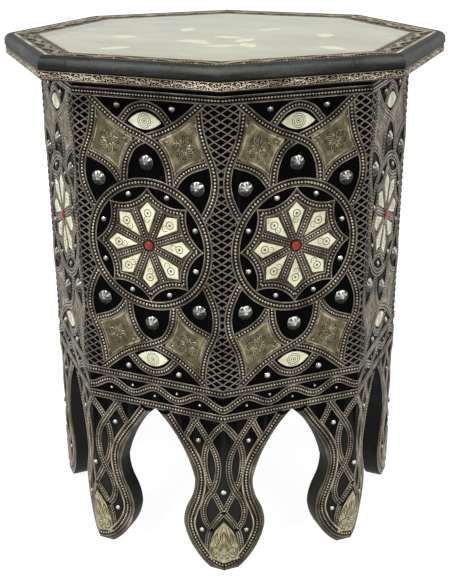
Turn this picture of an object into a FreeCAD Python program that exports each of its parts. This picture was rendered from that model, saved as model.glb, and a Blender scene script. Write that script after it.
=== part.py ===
"""Octagonal side table with ogee arches between its legs and pierced metal strapwork on every face.

Frame: millimetres, +Z up, the origin on the floor under the middle of the table. Face 1 looks
along -Y, and the other seven follow anticlockwise, 45 degrees apart.
"""
import FreeCAD, Part
import os
import re
import Sketcher

# Driving sizes in millimetres: a name, a value and what it measures
SIZES = (
    # Carcass
    ("carcass_flats", 367.2, "wooden body across its flats"),
    ("carcass_height", 517.5, "floor to the underside of the top"),
    ("panel_thickness", 18.0, "side board"),
    ("arch_height", 181.0, "floor to the point of the arch"),
    ("arch_shoulder_height", 107.0, "height of the arch's widest place above its waist"),
    ("arch_waist_height", 49.0, "height of its narrowest place"),
    ("leg_neck_width", 32.5, "leg on one face beside the arch's widest place"),
    ("leg_calf_width", 46.5, "the same beside its narrowest place"),
    ("leg_foot_width", 16.5, "the same at the floor"),
    ("arch_head_swell", 6.7, "how far the head's curve leaves its chord"),
    ("arch_neck_swell", 1.9, "the same for the two curves of the neck"),
    ("arch_foot_swell", 6.0, "the same for the curve down to the foot"),
    ("block_side", 24.0, "glue block along each board"),
    ("block_depth", 10.0, "glue block towards the middle"),
    ("block_arch_gap", 12.0, "glue block above the point of the arch"),
    # Top
    ("top_overhang", 33.7, "top with its moulding beyond the body"),
    ("board_thickness", 14.0, "top board"),
    ("border_width", 28.0, "metal covered frame round the glass"),
    ("border_thickness", 8.5, "the same frame, upright"),
    ("moulding_width", 6.1, "black nosing seen from above"),
    ("moulding_height", 13.5, "black nosing, upright"),
    ("moulding_nose", 4.4, "radius of its two round edges"),
    ("apron_setback", 0.4, "embossed band behind the nosing above it"),
    ("apron_bevel", 1.8, "the band's drawn-in lower edge"),
    ("inlay_thickness", 2.8, "inlaid panel under the glass"),
    ("glass_thickness", 4.0, "loose glass pane"),
    ("glass_rest_gap", 0.3, "under the loose pane"),
    ("rebate_gap", 0.4, "round the pane and the inlaid panel"),
    # Strapwork on one face
    ("plate_thickness", 1.2, "pierced metal plate"),
    ("plate_floor_gap", 1.5, "plate above the floor"),
    ("plate_top_gap", 0.5, "plate below the top"),
    ("plate_side_gap", 0.4, "plate short of the body's corner"),
    ("strap_reveal", 0.8, "plate behind the board's edge round the arch"),
    ("edge_strip", 3.0, "plate left beside the corner lattice"),
    ("top_band", 18.0, "beaded band from the top down to the pattern"),
    ("arch_band", 38.5, "beaded bands from the arch up to the pattern"),
    ("ring_side_gap", 9.05, "medallion ring to the body's corner"),
    ("ring_rim", 2.0, "bevelled rim outside the ring"),
    ("strap_width", 8.5, "beaded strap"),
    ("petal_base_width", 38.0, "upright petal where it meets the ring"),
    ("petal_swell", 3.5, "bow of its sides"),
    ("wing_outer_swell", 6.0, "bow of the side petal's outer side"),
    ("wing_upper_swell", 3.5, "bow of its upper side"),
    ("eye_width", 34.0, "eye from corner to corner"),
    ("eye_brow", 9.0, "eye beyond its corners, away from the centre"),
    ("eye_cheek", 7.0, "eye beyond its corners, towards the centre"),
    # Bone, stones, studs and foot plates
    ("bone_thickness", 2.2, "bone kites and eyes"),
    ("inlay_gap", 0.25, "between bone and metal"),
    ("stone_width", 10.5, "red stone"),
    ("stone_height", 3.0, "red stone above the plate"),
    ("rosette_width", 15.8, "fluted stud"),
    ("rosette_height", 4.2, "fluted stud above the board"),
    ("dome_width", 7.6, "plain domed stud"),
    ("dome_height", 3.2, "plain domed stud above the board"),
    ("palmette_thickness", 0.8, "embossed sheet round each foot"),
    ("palmette_point", 62.0, "its point above the floor"),
    ("palmette_bottom", 14.0, "its lower edge above the floor"),
    ("palmette_swell", 3.2, "bow of its sides"),
    ("overrun", 5.0, "how far cutting shapes pass what they cut"),
)

# Counts and angles
SIDES = 8
TURN = 360 / SIDES
SLOPE = f"tan({TURN / 2} deg)"
SLANT = f"cos({TURN / 2} deg)"
QUARTER_TURN = 90
STUD_SIDES = 6
STONE_SIDES = 8

# Straight facets that stand for a bow in the windows and pieces that repeat often
PLATE_ARCH_FACETS = ((3,), (2,), (2,), (4,))
PETAL_FACETS = 2
WING_FACETS = 2
CHEEK_FACETS = 3
BROW_FACETS = 4
PALMETTE_FACETS = 3

# Places in the medallion, as shares of the ring's radius
STAR_WAIST_SHARE = 0.694
KITE_POINT_SHARE = 0.649
KITE_SHOULDER_SHARE = 0.522
KITE_HEEL_SHARE = 0.19
KITE_WIDTH_SHARE = 0.239
LENS_WAIST_SHARE = 0.125
GORE_SHARE = 0.783

# Heights over the medallion, as shares of the way from its rim to the beaded band
PETAL_POINT_SHARE = 0.437
PETAL_STUD_SHARE = 0.183
WING_POINT_SHARE = 0.127
WING_STUD_SHARE = 0.17
EYE_SHARE = 0.725

# Depths under the beaded band, as shares of the same way
SPANDREL_DEPTH_SHARE = 0.204
DOME_DEPTH_SHARE = 0.079
LATTICE_KNEE_SHARE = 0.577
LATTICE_DEPTH_SHARE = 0.789

# Places to either side, as shares of half the face's width
WING_ACROSS_SHARE = 0.8415
SPANDREL_ACROSS_SHARES = (0.23, 0.368, 0.631)
DOME_ACROSS_SHARE = 0.375
LATTICE_TOP_SHARE = 0.743
LATTICE_KNEE_ACROSS_SHARE = 0.848

# Angles, as shares of a quarter turn or of half a ray's turn
WING_ANGLE_SHARES = (0.405, 0.682)
WING_STUD_ANGLE_SHARE = 0.554
LENS_CORNER_SHARE = 0.92
LENS_WAIST_ANGLE_SHARE = 0.42

# Parts of a fluted stud, as shares of its height and width
ROSETTE_RIM_SHARE = 0.3
ROSETTE_CROWN_SHARE = 0.27

# How many gaps a loop moves at a sharp corner to leave one gap along its sides
GAPS_AT_POINT = 2

# Windows on one side of a leg, each corner as a share of the leg's neck inwards from the table's
# corner and a share of the arch's height
LEG_WINDOW_SHARES = (
    ((0.82, 0.957), (1.085, 0.851), (0.68, 0.713), (0.506, 0.861)),
    ((0.71, 0.368), (0.897, 0.249), (0.585, 0.148), (0.5, 0.286)),
)

# Places that several pieces share
HALF_FLATS = "(carcass_flats / 2)"
PLATE_FACE = f"({HALF_FLATS} + plate_thickness)"
FACE_EDGE = f"({HALF_FLATS} * {SLOPE})"
TOP_EDGE = f"({HALF_FLATS} + top_overhang)"
BOARD_EDGE = f"({TOP_EDGE} - moulding_width)"
BOARD_TOP = "(carcass_height + board_thickness)"
TOP_HEIGHT = f"({BOARD_TOP} + border_thickness)"
REBATE_EDGE = f"({BOARD_EDGE} - border_width - rebate_gap)"
BAND_EDGE = "(carcass_height - top_band)"
MEDALLION_HEIGHT = f"(({BAND_EDGE} + arch_height + arch_band) / 2)"
BAND_RISE = f"({BAND_EDGE} - {MEDALLION_HEIGHT})"
RING = f"({FACE_EDGE} - ring_side_gap)"
RING_RIM = f"({RING} + ring_rim)"

doc = FreeCAD.newDocument("octagonal_table")
sheet = doc.addObject("Spreadsheet::Sheet", "sizes")
ALIASES = {row[0] for row in SIZES}
for line, (alias, value, note) in enumerate(SIZES, start=1):
    sheet.set(f"A{line}", alias)
    sheet.set(f"B{line}", str(value))
    sheet.set(f"C{line}", note)
    sheet.setAlias(f"B{line}", alias)
doc.recompute()


# Expressions
def tied(text):
    """The expression with every size named as a cell of the sheet."""
    return re.sub(r"[a-z_]+", lambda word: f"sizes.{word[0]}" if word[0] in ALIASES else word[0], text)


def number(text):
    """The present value of an expression."""
    result = sheet.evalExpression(tied(text))
    return float(getattr(result, "Value", result))


def over_rim(share):
    """A height over the medallion's centre, by a share of the way from its rim to the band."""
    return f"({RING_RIM} + ({BAND_RISE} - {RING_RIM}) * {share})"


def under_band(share):
    """A height over the medallion's centre, by a share of the same way down from the band."""
    return f"({BAND_RISE} - ({BAND_RISE} - {RING_RIM}) * {share})"


def across(share):
    """A distance from the middle of the face, by a share of half its width."""
    return f"({FACE_EDGE} * {share})"


def polar(radius, degrees):
    """A corner at a radius and an angle from the sketch's own origin, both expressions."""
    return f"{radius} * cos({degrees} deg)", f"{radius} * sin({degrees} deg)"


# Sketches
def sketch_on(body, name, role, lift="0", rise="0"):
    """A sketch on one of the body's origin planes, lifted off it and with its origin moved up."""
    sketch = body.newObject("Sketcher::SketchObject", f"{body.Name}_{name}")
    plane = next(item for item in body.Origin.OriginFeatures if item.Role == role)
    sketch.AttachmentSupport = (plane, [""])
    sketch.MapMode = "FlatFace"
    sketch.setExpression("AttachmentOffset.Base.z", tied(lift))
    sketch.setExpression("AttachmentOffset.Base.y", tied(rise))
    return sketch


def tie_corner(sketch, edge, end, texts):
    """Holds a corner by its distances from the sketch's origin, or on an axis where that is zero."""
    for kind, axis, text in zip(("DistanceX", "DistanceY"), (-2, -1), texts):
        if text == "0":
            sketch.addConstraint(Sketcher.Constraint("PointOnObject", edge, end, axis))
        else:
            place = sketch.addConstraint(Sketcher.Constraint(kind, -1, 1, edge, end, number(text)))
            sketch.setExpression(f"Constraints[{place}]", tied(text))


def faceted(corners):
    """The same loop with each bowed side that has a count drawn as facets along a parabola."""
    result = []
    for corner, following in zip(corners, corners[1:] + corners[:1]):
        if len(corner) < 4:
            result.append(corner)
            continue
        x, y, bow, count = corner
        run, rise = (f"(({after}) - ({before}))" for before, after in zip(corner, following[:2]))
        for step in range(count):
            along = step / count
            bulge = 4 * along * (1 - along)
            outwards = f"{bulge} * ({bow}) / sqrt({run}^2 + {rise}^2)"
            right = f"{x} + {run} * {along} + {rise} * {outwards}"
            up = f"{y} + {rise} * {along} - {run} * {outwards}"
            result.append((right, up))
    return result


def outline(sketch, *corners):
    """A closed loop, anticlockwise. A third value bows the side after that corner outwards.

    A fourth value draws that side as so many straight facets, for windows that repeat often.
    """
    corners = faceted(corners)
    places = [FreeCAD.Vector(number(x), number(y), 0) for x, y, *_ in corners]
    edges = []
    for corner, here, there in zip(corners, places, places[1:] + places[:1]):
        if len(corner) == 2:
            edges.append(sketch.addGeometry(Part.LineSegment(here, there), False))
            continue
        outwards = (there - here).cross(FreeCAD.Vector(0, 0, 1)).normalize()
        middle = (here + there) / 2 + outwards * number(corner[2])
        edges.append(sketch.addGeometry(Part.Arc(here, middle, there), False))
    starts = []
    for edge, here in zip(edges, places):
        gap = sketch.getPoint(edge, 1).distanceToPoint(here)
        starts.append(1 if gap < sketch.getPoint(edge, 2).distanceToPoint(here) else 2)
    for i, corner in enumerate(corners):
        following = (i + 1) % len(corners)
        ends = (edges[i], 3 - starts[i], edges[following], starts[following])
        sketch.addConstraint(Sketcher.Constraint("Coincident", *ends))
        tie_corner(sketch, edges[i], starts[i], corner[:2])
        if len(corner) == 3:
            x, y, bow = corner
            next_x, next_y, *_ = corners[following]
            chord = f"(({next_x} - ({x}))^2 + ({next_y} - ({y}))^2)"
            radius = f"({chord} + 4 * ({bow})^2) / (8 * abs({bow}))"
            place = sketch.addConstraint(Sketcher.Constraint("Radius", edges[i], number(radius)))
            sketch.setExpression(f"Constraints[{place}]", tied(radius))


def regular(sketch, sides, width, x="0", y="0"):
    """A regular polygon round a point, its width measured across its corners."""
    corners = []
    for i in range(sides):
        right, up = polar(f"{width} / 2", 360 / sides * (i + 0.5))
        corners.append((f"{x} + {right}", f"{y} + {up}"))
    outline(sketch, *corners)


# Bodies and features
def new_body(label, turn=0):
    """An empty body with its place in the table; its group may hold separate solids."""
    body = doc.addObject("PartDesign::Body", label)
    body.Label = label
    body.AllowCompound = True
    body.Placement.Rotation = FreeCAD.Rotation(FreeCAD.Vector(0, 0, 1), turn)
    return body


def pad(body, sketch, length, both_ways=False):
    """Raises a sketch by a tied length."""
    feature = body.newObject("PartDesign::Pad", f"{sketch.Name}_pad")
    feature.Profile = sketch
    feature.setExpression("Length", tied(length))
    feature.Midplane = both_ways
    return feature


def bevel_front(body, raised, down, inwards):
    """Bevels the edges of a pad's front face, the one furthest towards -Y."""
    doc.recompute()
    faces = raised.Shape.Faces
    front = min(range(len(faces)), key=lambda i: faces[i].CenterOfMass.y)
    feature = body.newObject("PartDesign::Chamfer", f"{raised.Name}_bevel")
    feature.Base = (raised, [f"Face{front + 1}"])
    feature.ChamferType = "Two distances"
    feature.setExpression("Size", tied(down))
    feature.setExpression("Size2", tied(inwards))
    return feature


def cut(body, sketch):
    """Cuts a sketch right through its body, both ways."""
    feature = body.newObject("PartDesign::Pocket", f"{sketch.Name}_cut")
    feature.Profile = sketch
    feature.Type = "ThroughAll"
    feature.Midplane = True
    return feature


def repeat(body, feature, *moves):
    """Repeats a feature by a chain of moves, each an axis and a count, or a mirror's axis and none."""
    chain = body.newObject("PartDesign::MultiTransform", f"{feature.Name}_all")
    chain.Originals = [feature]
    steps = []
    for i, (axis, count) in enumerate(moves):
        kind = "PolarPattern" if count else "Mirrored"
        step = body.newObject(f"PartDesign::{kind}", f"{feature.Name}_step_{i}")
        if count:
            step.Axis = axis
            step.Angle = 360
            step.Occurrences = count
        else:
            step.MirrorPlane = axis
        steps.append(step)
    chain.Transformations = steps
    body.Tip = chain
    return chain


def round_table(body):
    """The turn about the table's upright axis that repeats a face eight times."""
    axis = next(item for item in body.Origin.OriginFeatures if item.Role == "Z_Axis")
    return (axis, [""]), SIDES


def sideways(sketch):
    """The mirror that swaps a face's left and right."""
    return (sketch, ["V_Axis"]), None


def upside_down(sketch):
    """The mirror that swaps what is above and below the sketch's origin."""
    return (sketch, ["H_Axis"]), None


def about_medallion(sketch):
    """The turn about the medallion's centre that repeats a ray eight times."""
    return (sketch, ["N_Axis"]), SIDES


def ring_of(first, stem, start=0):
    """Seven more of a body, each turned on by one face."""
    pieces = [first]
    for i in range(1, SIDES):
        body = new_body(f"{stem}_{i + 1}", start + TURN * i)
        base = doc.addObject("PartDesign::FeatureBase", f"{body.Name}_base")
        base.BaseFeature = first
        body.Group = [base]
        body.Tip = base
        pieces.append(body)
    return pieces


# Shapes that more than one piece uses
def cut_arch(body, lift, reveal="0", facets=((), (), (), ())):
    """Cuts the ogee arch, larger by a reveal: half of it is drawn, then mirrored."""
    sketch = sketch_on(body, "arch", "XZ_Plane", lift)
    widths = ("leg_foot_width", "leg_calf_width", "leg_neck_width")
    foot, waist, shoulder = (f"({FACE_EDGE} - {width} + {reveal})" for width in widths)
    neck = (f"({waist} + {shoulder}) / 2", "(arch_waist_height + arch_shoulder_height) / 2")
    low, under, over, head = facets
    outline(
        sketch,
        ("0", "-overrun"),
        (foot, "-overrun"),
        (foot, "0", "-arch_foot_swell", *low),
        (waist, "arch_waist_height", "-arch_neck_swell", *under),
        (*neck, "arch_neck_swell", *over),
        (shoulder, "arch_shoulder_height", "arch_head_swell", *head),
        ("0", f"arch_height + {reveal}"),
    )
    repeat(body, cut(body, sketch), sideways(sketch))


def ring_segment(label, outer, inner, lift, height):
    """One side of an octagonal frame, mitred at both ends, as a plan raised by its height."""
    body = new_body(label)
    sketch = sketch_on(body, "plan", "XY_Plane", lift)
    outline(
        sketch,
        (f"-{outer} * {SLOPE}", f"-{outer}"),
        (f"{outer} * {SLOPE}", f"-{outer}"),
        (f"{inner} * {SLOPE}", f"-{inner}"),
        (f"-{inner} * {SLOPE}", f"-{inner}"),
    )
    pad(body, sketch, height)
    return body


def cut_mitres(body, outer, inner):
    """Cuts the end of a length to the plane through the table's axis and a corner, then mirrors it."""
    sketch = sketch_on(body, "mitre", "XY_Plane")
    far = f"({outer} + overrun)"
    near = f"({inner} - overrun)"
    outline(
        sketch,
        (f"{near} * {SLOPE}", f"-{near}"),
        (f"{far} * {SLOPE}", f"-{far}"),
        (f"{far} * {SLOPE}", f"-{near}"),
    )
    return cut(body, sketch), sketch


def octagon_slab(label, flats_half, lift, height):
    """A flat octagonal slab."""
    body = new_body(label)
    sketch = sketch_on(body, "plan", "XY_Plane", lift)
    regular(sketch, SIDES, f"(2 * {flats_half} / {SLANT})")
    pad(body, sketch, height)
    return body


# Carcass
def side_panels():
    """Eight side boards, mitred to each other, each with its arch."""
    inner = f"({HALF_FLATS} - panel_thickness)"
    body = ring_segment("side_panel_1", HALF_FLATS, inner, "0", "carcass_height")
    cut_arch(body, HALF_FLATS)
    return ring_of(body, "side_panel")


def corner_blocks():
    """Eight glue blocks up the inside corners, from above the arches to the top board."""
    body = new_body("corner_block_1", TURN / 2)
    bottom = "(arch_height + block_arch_gap)"
    sketch = sketch_on(body, "plan", "XY_Plane", bottom)
    corner = f"(({HALF_FLATS} - panel_thickness) / {SLANT})"
    side = f"block_side * {SLANT}"
    up = f"-{corner} + block_side * sin({TURN / 2} deg)"
    outline(
        sketch,
        ("0", f"-{corner}"),
        (side, up),
        (side, f"{up} + block_depth"),
        (f"-{side}", f"{up} + block_depth"),
        (f"-{side}", up),
    )
    pad(body, sketch, f"carcass_height - {bottom}")
    return ring_of(body, "corner_block", TURN / 2)


# Top
def top_borders():
    """The metal covered frame round the glass, in eight mitred sides."""
    inner = f"({BOARD_EDGE} - border_width)"
    body = ring_segment("top_border_1", BOARD_EDGE, inner, BOARD_TOP, "border_thickness")
    return ring_of(body, "top_border")


def section_length(label, corners, outer):
    """A moulding: a section drawn across the table's edge, run along one side and mitred."""
    body = new_body(label)
    section = sketch_on(body, "section", "YZ_Plane")
    outline(section, *corners)
    pad(body, section, f"2 * {outer} * {SLOPE}", both_ways=True)
    mitre, sketch = cut_mitres(body, outer, BOARD_EDGE)
    repeat(body, mitre, sideways(sketch))
    return body


def edge_mouldings():
    """The black nosing round the top."""
    low = f"({TOP_HEIGHT} - moulding_height)"
    bow = "moulding_nose * (1 - sqrt(0.5))"
    corners = (
        (f"-{BOARD_EDGE}", low),
        (f"-{BOARD_EDGE}", TOP_HEIGHT),
        (f"-{TOP_EDGE} + moulding_nose", TOP_HEIGHT, bow),
        (f"-{TOP_EDGE}", f"{TOP_HEIGHT} - moulding_nose"),
        (f"-{TOP_EDGE}", f"{low} + moulding_nose", bow),
        (f"-{TOP_EDGE} + moulding_nose", low),
    )
    return ring_of(section_length("edge_moulding_1", corners, TOP_EDGE), "edge_moulding")


def apron_bands():
    """The embossed band under the nosing, with a drawn-in lower edge."""
    outer = f"({TOP_EDGE} - apron_setback)"
    top = f"({TOP_HEIGHT} - moulding_height)"
    corners = (
        (f"-{BOARD_EDGE}", "carcass_height"),
        (f"-{BOARD_EDGE}", top),
        (f"-{outer}", top),
        (f"-{outer}", "carcass_height + apron_bevel"),
        (f"-{outer} + apron_bevel", "carcass_height"),
    )
    return ring_of(section_length("apron_band_1", corners, outer), "apron_band")


def top_slabs():
    """Top board, inlaid panel and the loose glass over it."""
    glass_bottom = f"{BOARD_TOP} + inlay_thickness + glass_rest_gap"
    return [
        octagon_slab("top_board", BOARD_EDGE, "carcass_height", "board_thickness"),
        octagon_slab("inlay_panel", REBATE_EDGE, BOARD_TOP, "inlay_thickness"),
        octagon_slab("glass_panel", REBATE_EDGE, glass_bottom, "glass_thickness"),
    ]


# Strapwork
def kite_corners(gap="0"):
    """A bone kite that points along +X, wider by a gap all round."""
    shoulder = f"{RING} * {KITE_SHOULDER_SHARE}"
    half = f"({RING} * {KITE_WIDTH_SHARE} / 2 + {gap})"
    return (
        (f"{RING} * {KITE_HEEL_SHARE} - {GAPS_AT_POINT} * {gap}", "0"),
        (shoulder, f"-{half}"),
        (f"{RING} * {KITE_POINT_SHARE} + {GAPS_AT_POINT} * {gap}", "0"),
        (shoulder, half),
    )


def eye_corners(gap="0"):
    """A bone eye over the medallion, wider by a gap all round."""
    half = f"eye_width / 2 + {GAPS_AT_POINT} * {gap}"
    rise = over_rim(EYE_SHARE)
    return (
        (f"-({half})", rise, f"eye_cheek + {gap}", CHEEK_FACETS),
        (half, rise, f"eye_brow + {gap}", BROW_FACETS),
    )


def lens_corners():
    """A window between the ring and a concave side of the star, with straight facets."""
    inside = f"({RING} - strap_width)"
    star = f"({RING} * {STAR_WAIST_SHARE})"
    half_turn = TURN / 2
    waist = f"({star} + ({inside} - {star}) * {LENS_WAIST_SHARE})"
    corner = half_turn * LENS_CORNER_SHARE
    knee = half_turn * LENS_WAIST_ANGLE_SHARE
    return (
        polar(inside, half_turn - corner),
        polar(inside, half_turn),
        polar(inside, half_turn + corner),
        polar(waist, half_turn + knee),
        polar(waist, half_turn - knee),
    )


def wing_corners():
    """The side petal: two bowed sides that meet at its outer point, and the ring."""
    low, high = (QUARTER_TURN * share for share in WING_ANGLE_SHARES)
    point = (across(WING_ACROSS_SHARE), over_rim(WING_POINT_SHARE))
    return (
        (*polar(RING_RIM, low), "wing_outer_swell", WING_FACETS),
        (*point, "wing_upper_swell", WING_FACETS),
        polar(RING_RIM, high),
    )


def petal_corners():
    """The upright petal over the ring."""
    half = "(petal_base_width / 2)"
    base = f"sqrt({RING_RIM}^2 - {half}^2)"
    return (
        (f"-{half}", base, f"-({RING_RIM} - {base})", PETAL_FACETS),
        (half, base, "petal_swell", PETAL_FACETS),
        ("0", over_rim(PETAL_POINT_SHARE), "petal_swell", PETAL_FACETS),
    )


def spandrel_corners():
    """The black triangle under the beaded band."""
    inner, foot, outer = (across(share) for share in SPANDREL_ACROSS_SHARES)
    return (inner, BAND_RISE), (foot, under_band(SPANDREL_DEPTH_SHARE)), (outer, BAND_RISE)


def lattice_corners(inside):
    """The corner lattice under the beaded band."""
    return (
        (inside, BAND_RISE),
        (across(LATTICE_TOP_SHARE), BAND_RISE),
        (across(LATTICE_KNEE_ACROSS_SHARE), under_band(LATTICE_KNEE_SHARE)),
        (inside, under_band(LATTICE_DEPTH_SHARE)),
    )


def filigree_plates():
    """One pierced plate for each face, cut in the order in which it repeats."""
    body = new_body("filigree_1")
    edge = f"({FACE_EDGE} - plate_side_gap)"
    inside = f"({edge} - edge_strip)"
    blank = sketch_on(body, "blank", "XZ_Plane", HALF_FLATS)
    outline(
        blank,
        (f"-{edge}", "plate_floor_gap"),
        (edge, "plate_floor_gap"),
        (edge, "carcass_height - plate_top_gap"),
        (f"-{edge}", "carcass_height - plate_top_gap"),
    )
    pad(body, blank, "plate_thickness")
    cut_arch(body, HALF_FLATS, "strap_reveal", PLATE_ARCH_FACETS)

    rays = sketch_on(body, "rays", "XZ_Plane", HALF_FLATS, MEDALLION_HEIGHT)
    outline(rays, *kite_corners("inlay_gap"))
    outline(rays, *lens_corners())
    repeat(body, cut(body, rays), about_medallion(rays))

    middle = sketch_on(body, "middle", "XZ_Plane", HALF_FLATS, MEDALLION_HEIGHT)
    outline(middle, *petal_corners())
    outline(middle, *eye_corners("inlay_gap"))
    repeat(body, cut(body, middle), upside_down(middle))

    quarter = sketch_on(body, "quarter", "XZ_Plane", HALF_FLATS, MEDALLION_HEIGHT)
    outline(quarter, *wing_corners())
    outline(quarter, *spandrel_corners())
    outline(quarter, *lattice_corners(inside))
    repeat(body, cut(body, quarter), sideways(quarter), upside_down(quarter))

    gore = sketch_on(body, "gore", "XZ_Plane", HALF_FLATS, MEDALLION_HEIGHT)
    rise = f"{RING_RIM} * {GORE_SHARE}"
    outline(gore, (inside, f"-{rise}"), (inside, rise), (RING_RIM, "0"))
    repeat(body, cut(body, gore), sideways(gore))

    leg = sketch_on(body, "leg", "XZ_Plane", HALF_FLATS)
    for window in LEG_WINDOW_SHARES:
        corners = [
            (f"{FACE_EDGE} - leg_neck_width * {inwards}", f"arch_height * {up}")
            for inwards, up in window
        ]
        outline(leg, *corners)
    repeat(body, cut(body, leg), sideways(leg))
    return ring_of(body, "filigree")


# Bone, stones, studs and foot plates
def raised_group(label, draw, seat, height, moves, bevel=()):
    """Pieces of one kind on every face: drawn once, raised from their seat and repeated."""
    body = new_body(label)
    sketch = sketch_on(body, "outline", "XZ_Plane", seat, MEDALLION_HEIGHT)
    draw(sketch)
    piece = pad(body, sketch, height)
    if bevel:
        piece = bevel_front(body, piece, *bevel)
    chain = repeat(body, piece, *(move(sketch) for move in moves), round_table(body))
    chain.TransformMode = "Whole shape"
    return body


def bone_pieces():
    """Sixty-four kites and sixteen eyes, let into the plates and seated on the boards."""
    kites = raised_group(
        "bone_petals",
        lambda sketch: outline(sketch, *kite_corners()),
        HALF_FLATS,
        "bone_thickness",
        [about_medallion],
    )
    eyes = raised_group(
        "bone_eyes",
        lambda sketch: outline(sketch, *eye_corners()),
        HALF_FLATS,
        "bone_thickness",
        [upside_down],
    )
    return [kites, eyes]


def red_stones():
    """A red stone on the middle of each medallion."""
    return [
        raised_group(
            "red_stones",
            lambda sketch: regular(sketch, STONE_SIDES, "stone_width"),
            PLATE_FACE,
            "stone_height",
            [],
        )
    ]


def stud_group(label, width, x, y, height, moves, bevel=()):
    """Studs of one width and height, seated on the boards."""
    def draw(sketch):
        regular(sketch, STUD_SIDES, width, x, y)

    return raised_group(label, draw, HALF_FLATS, height, moves, bevel)


def studs():
    """Plain studs in the black triangles, and fluted ones in the side and upright petals."""
    low = f"rosette_height * (1 - {ROSETTE_RIM_SHARE})"
    crown = (low, f"rosette_width * {ROSETTE_CROWN_SHARE}")
    side = polar(over_rim(WING_STUD_SHARE), QUARTER_TURN * WING_STUD_ANGLE_SHARE)
    dome = ("dome_width", across(DOME_ACROSS_SHARE), under_band(DOME_DEPTH_SHARE), "dome_height")
    wing = ("rosette_width", *side, "rosette_height")
    petal = ("rosette_width", "0", over_rim(PETAL_STUD_SHARE), "rosette_height")
    return [
        stud_group("dome_studs", *dome, [sideways, upside_down]),
        stud_group("wing_rosettes", *wing, [sideways, upside_down], crown),
        stud_group("petal_rosettes", *petal, [upside_down], crown),
    ]


def foot_plates():
    """Embossed palmettes bent round the feet: half of one on a face, mitred, mirrored and repeated."""
    body = new_body("foot_plates")
    sketch = sketch_on(body, "palmette", "XZ_Plane", PLATE_FACE)
    outer = f"({PLATE_FACE} + palmette_thickness)"
    corner = f"({PLATE_FACE} * {SLOPE})"
    beyond = f"({outer} * {SLOPE})"
    outline(
        sketch,
        (f"{corner} - leg_foot_width", "palmette_bottom"),
        (beyond, "palmette_bottom"),
        (beyond, "palmette_point"),
        (corner, "palmette_point", "palmette_swell", PALMETTE_FACETS),
    )
    pad(body, sketch, "palmette_thickness")
    mitre, _ = cut_mitres(body, outer, PLATE_FACE)
    chain = repeat(body, mitre, sideways(sketch), round_table(body))
    chain.TransformMode = "Whole shape"
    return [body]


# Checks and files
def check_document():
    """Stops if any object failed to build."""
    failed = [item.Name for item in doc.Objects if {"Invalid", "Error"} & set(item.State)]
    if failed:
        raise RuntimeError(f"these objects failed: {failed}")


def write_parts(pieces):
    """Writes each piece that has a sound shape to its own file."""
    os.makedirs("parts", exist_ok=True)
    for piece in pieces:
        shape = piece.Shape
        if shape.isNull() or not shape.isValid() or not shape.Solids:
            raise RuntimeError(f"{piece.Label} has no sound solid")
        shape.exportStep(os.path.join("parts", f"{piece.Label}.step"))
        print(f"{piece.Label}: {len(shape.Solids)} solids, {shape.Volume / 1000:.2f} cm3")


def main():
    """Builds every piece, checks the document and writes the files."""
    pieces = side_panels() + corner_blocks() + top_slabs()
    pieces += top_borders() + edge_mouldings() + apron_bands()
    pieces += filigree_plates() + bone_pieces() + red_stones() + studs() + foot_plates()
    doc.recompute()
    check_document()
    write_parts(pieces)


main()
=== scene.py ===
# %% [markdown]
# # Octagonal side table with beaded strapwork
#
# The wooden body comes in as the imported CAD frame. This notebook dresses it: beaded metal
# straps, wire net, bone inlay with its engraving, studs, the border of the top, and the finish
# of every surface. Lengths are millimetres here and become metres where a mesh is made. Side 1
# looks along -Y. Every surface is drawn once on side 1 and turned to the others, because the
# real table repeats one pattern eight times.

import bpy
import math
import numpy as np
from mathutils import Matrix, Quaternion, Vector


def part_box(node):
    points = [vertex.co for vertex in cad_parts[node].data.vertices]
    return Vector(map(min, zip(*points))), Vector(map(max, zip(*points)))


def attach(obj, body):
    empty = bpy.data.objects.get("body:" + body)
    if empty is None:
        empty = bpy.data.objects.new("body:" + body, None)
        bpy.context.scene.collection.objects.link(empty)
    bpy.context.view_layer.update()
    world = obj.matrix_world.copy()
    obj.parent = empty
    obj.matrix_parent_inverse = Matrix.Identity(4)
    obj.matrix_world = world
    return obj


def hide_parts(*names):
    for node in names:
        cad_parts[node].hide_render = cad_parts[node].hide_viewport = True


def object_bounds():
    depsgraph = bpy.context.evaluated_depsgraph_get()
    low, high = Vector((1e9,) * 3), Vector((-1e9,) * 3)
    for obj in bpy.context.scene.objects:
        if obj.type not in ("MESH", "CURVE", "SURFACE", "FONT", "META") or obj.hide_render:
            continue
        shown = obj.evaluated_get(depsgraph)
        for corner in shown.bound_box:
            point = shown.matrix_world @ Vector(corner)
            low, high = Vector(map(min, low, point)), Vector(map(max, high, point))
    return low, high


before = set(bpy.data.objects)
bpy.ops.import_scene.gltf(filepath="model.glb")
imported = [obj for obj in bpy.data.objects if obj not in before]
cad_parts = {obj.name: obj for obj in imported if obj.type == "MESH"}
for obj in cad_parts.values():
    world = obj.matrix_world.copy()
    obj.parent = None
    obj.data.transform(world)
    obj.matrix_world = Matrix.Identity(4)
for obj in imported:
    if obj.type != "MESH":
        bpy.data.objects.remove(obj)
CAD_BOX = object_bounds()
MM = 0.001
SIDES = 8
TURN = 2 * math.pi / SIDES
SLOPE = math.tan(TURN / 2)


def cad_range(node, axis):
    """Lowest and highest place of a CAD node along one axis, in millimetres."""
    low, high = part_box(node)
    return low[axis] / MM, high[axis] / MM


WOOD_FACE = -cad_range("side_panel_1", 1)[0]
CENTRE_Z = sum(cad_range("bone_petals", 2)) / 2
CORNER = WOOD_FACE * SLOPE
print("wood face", round(WOOD_FACE, 2), "medallion", round(CENTRE_Z, 2), "corner", round(CORNER, 2))

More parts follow.
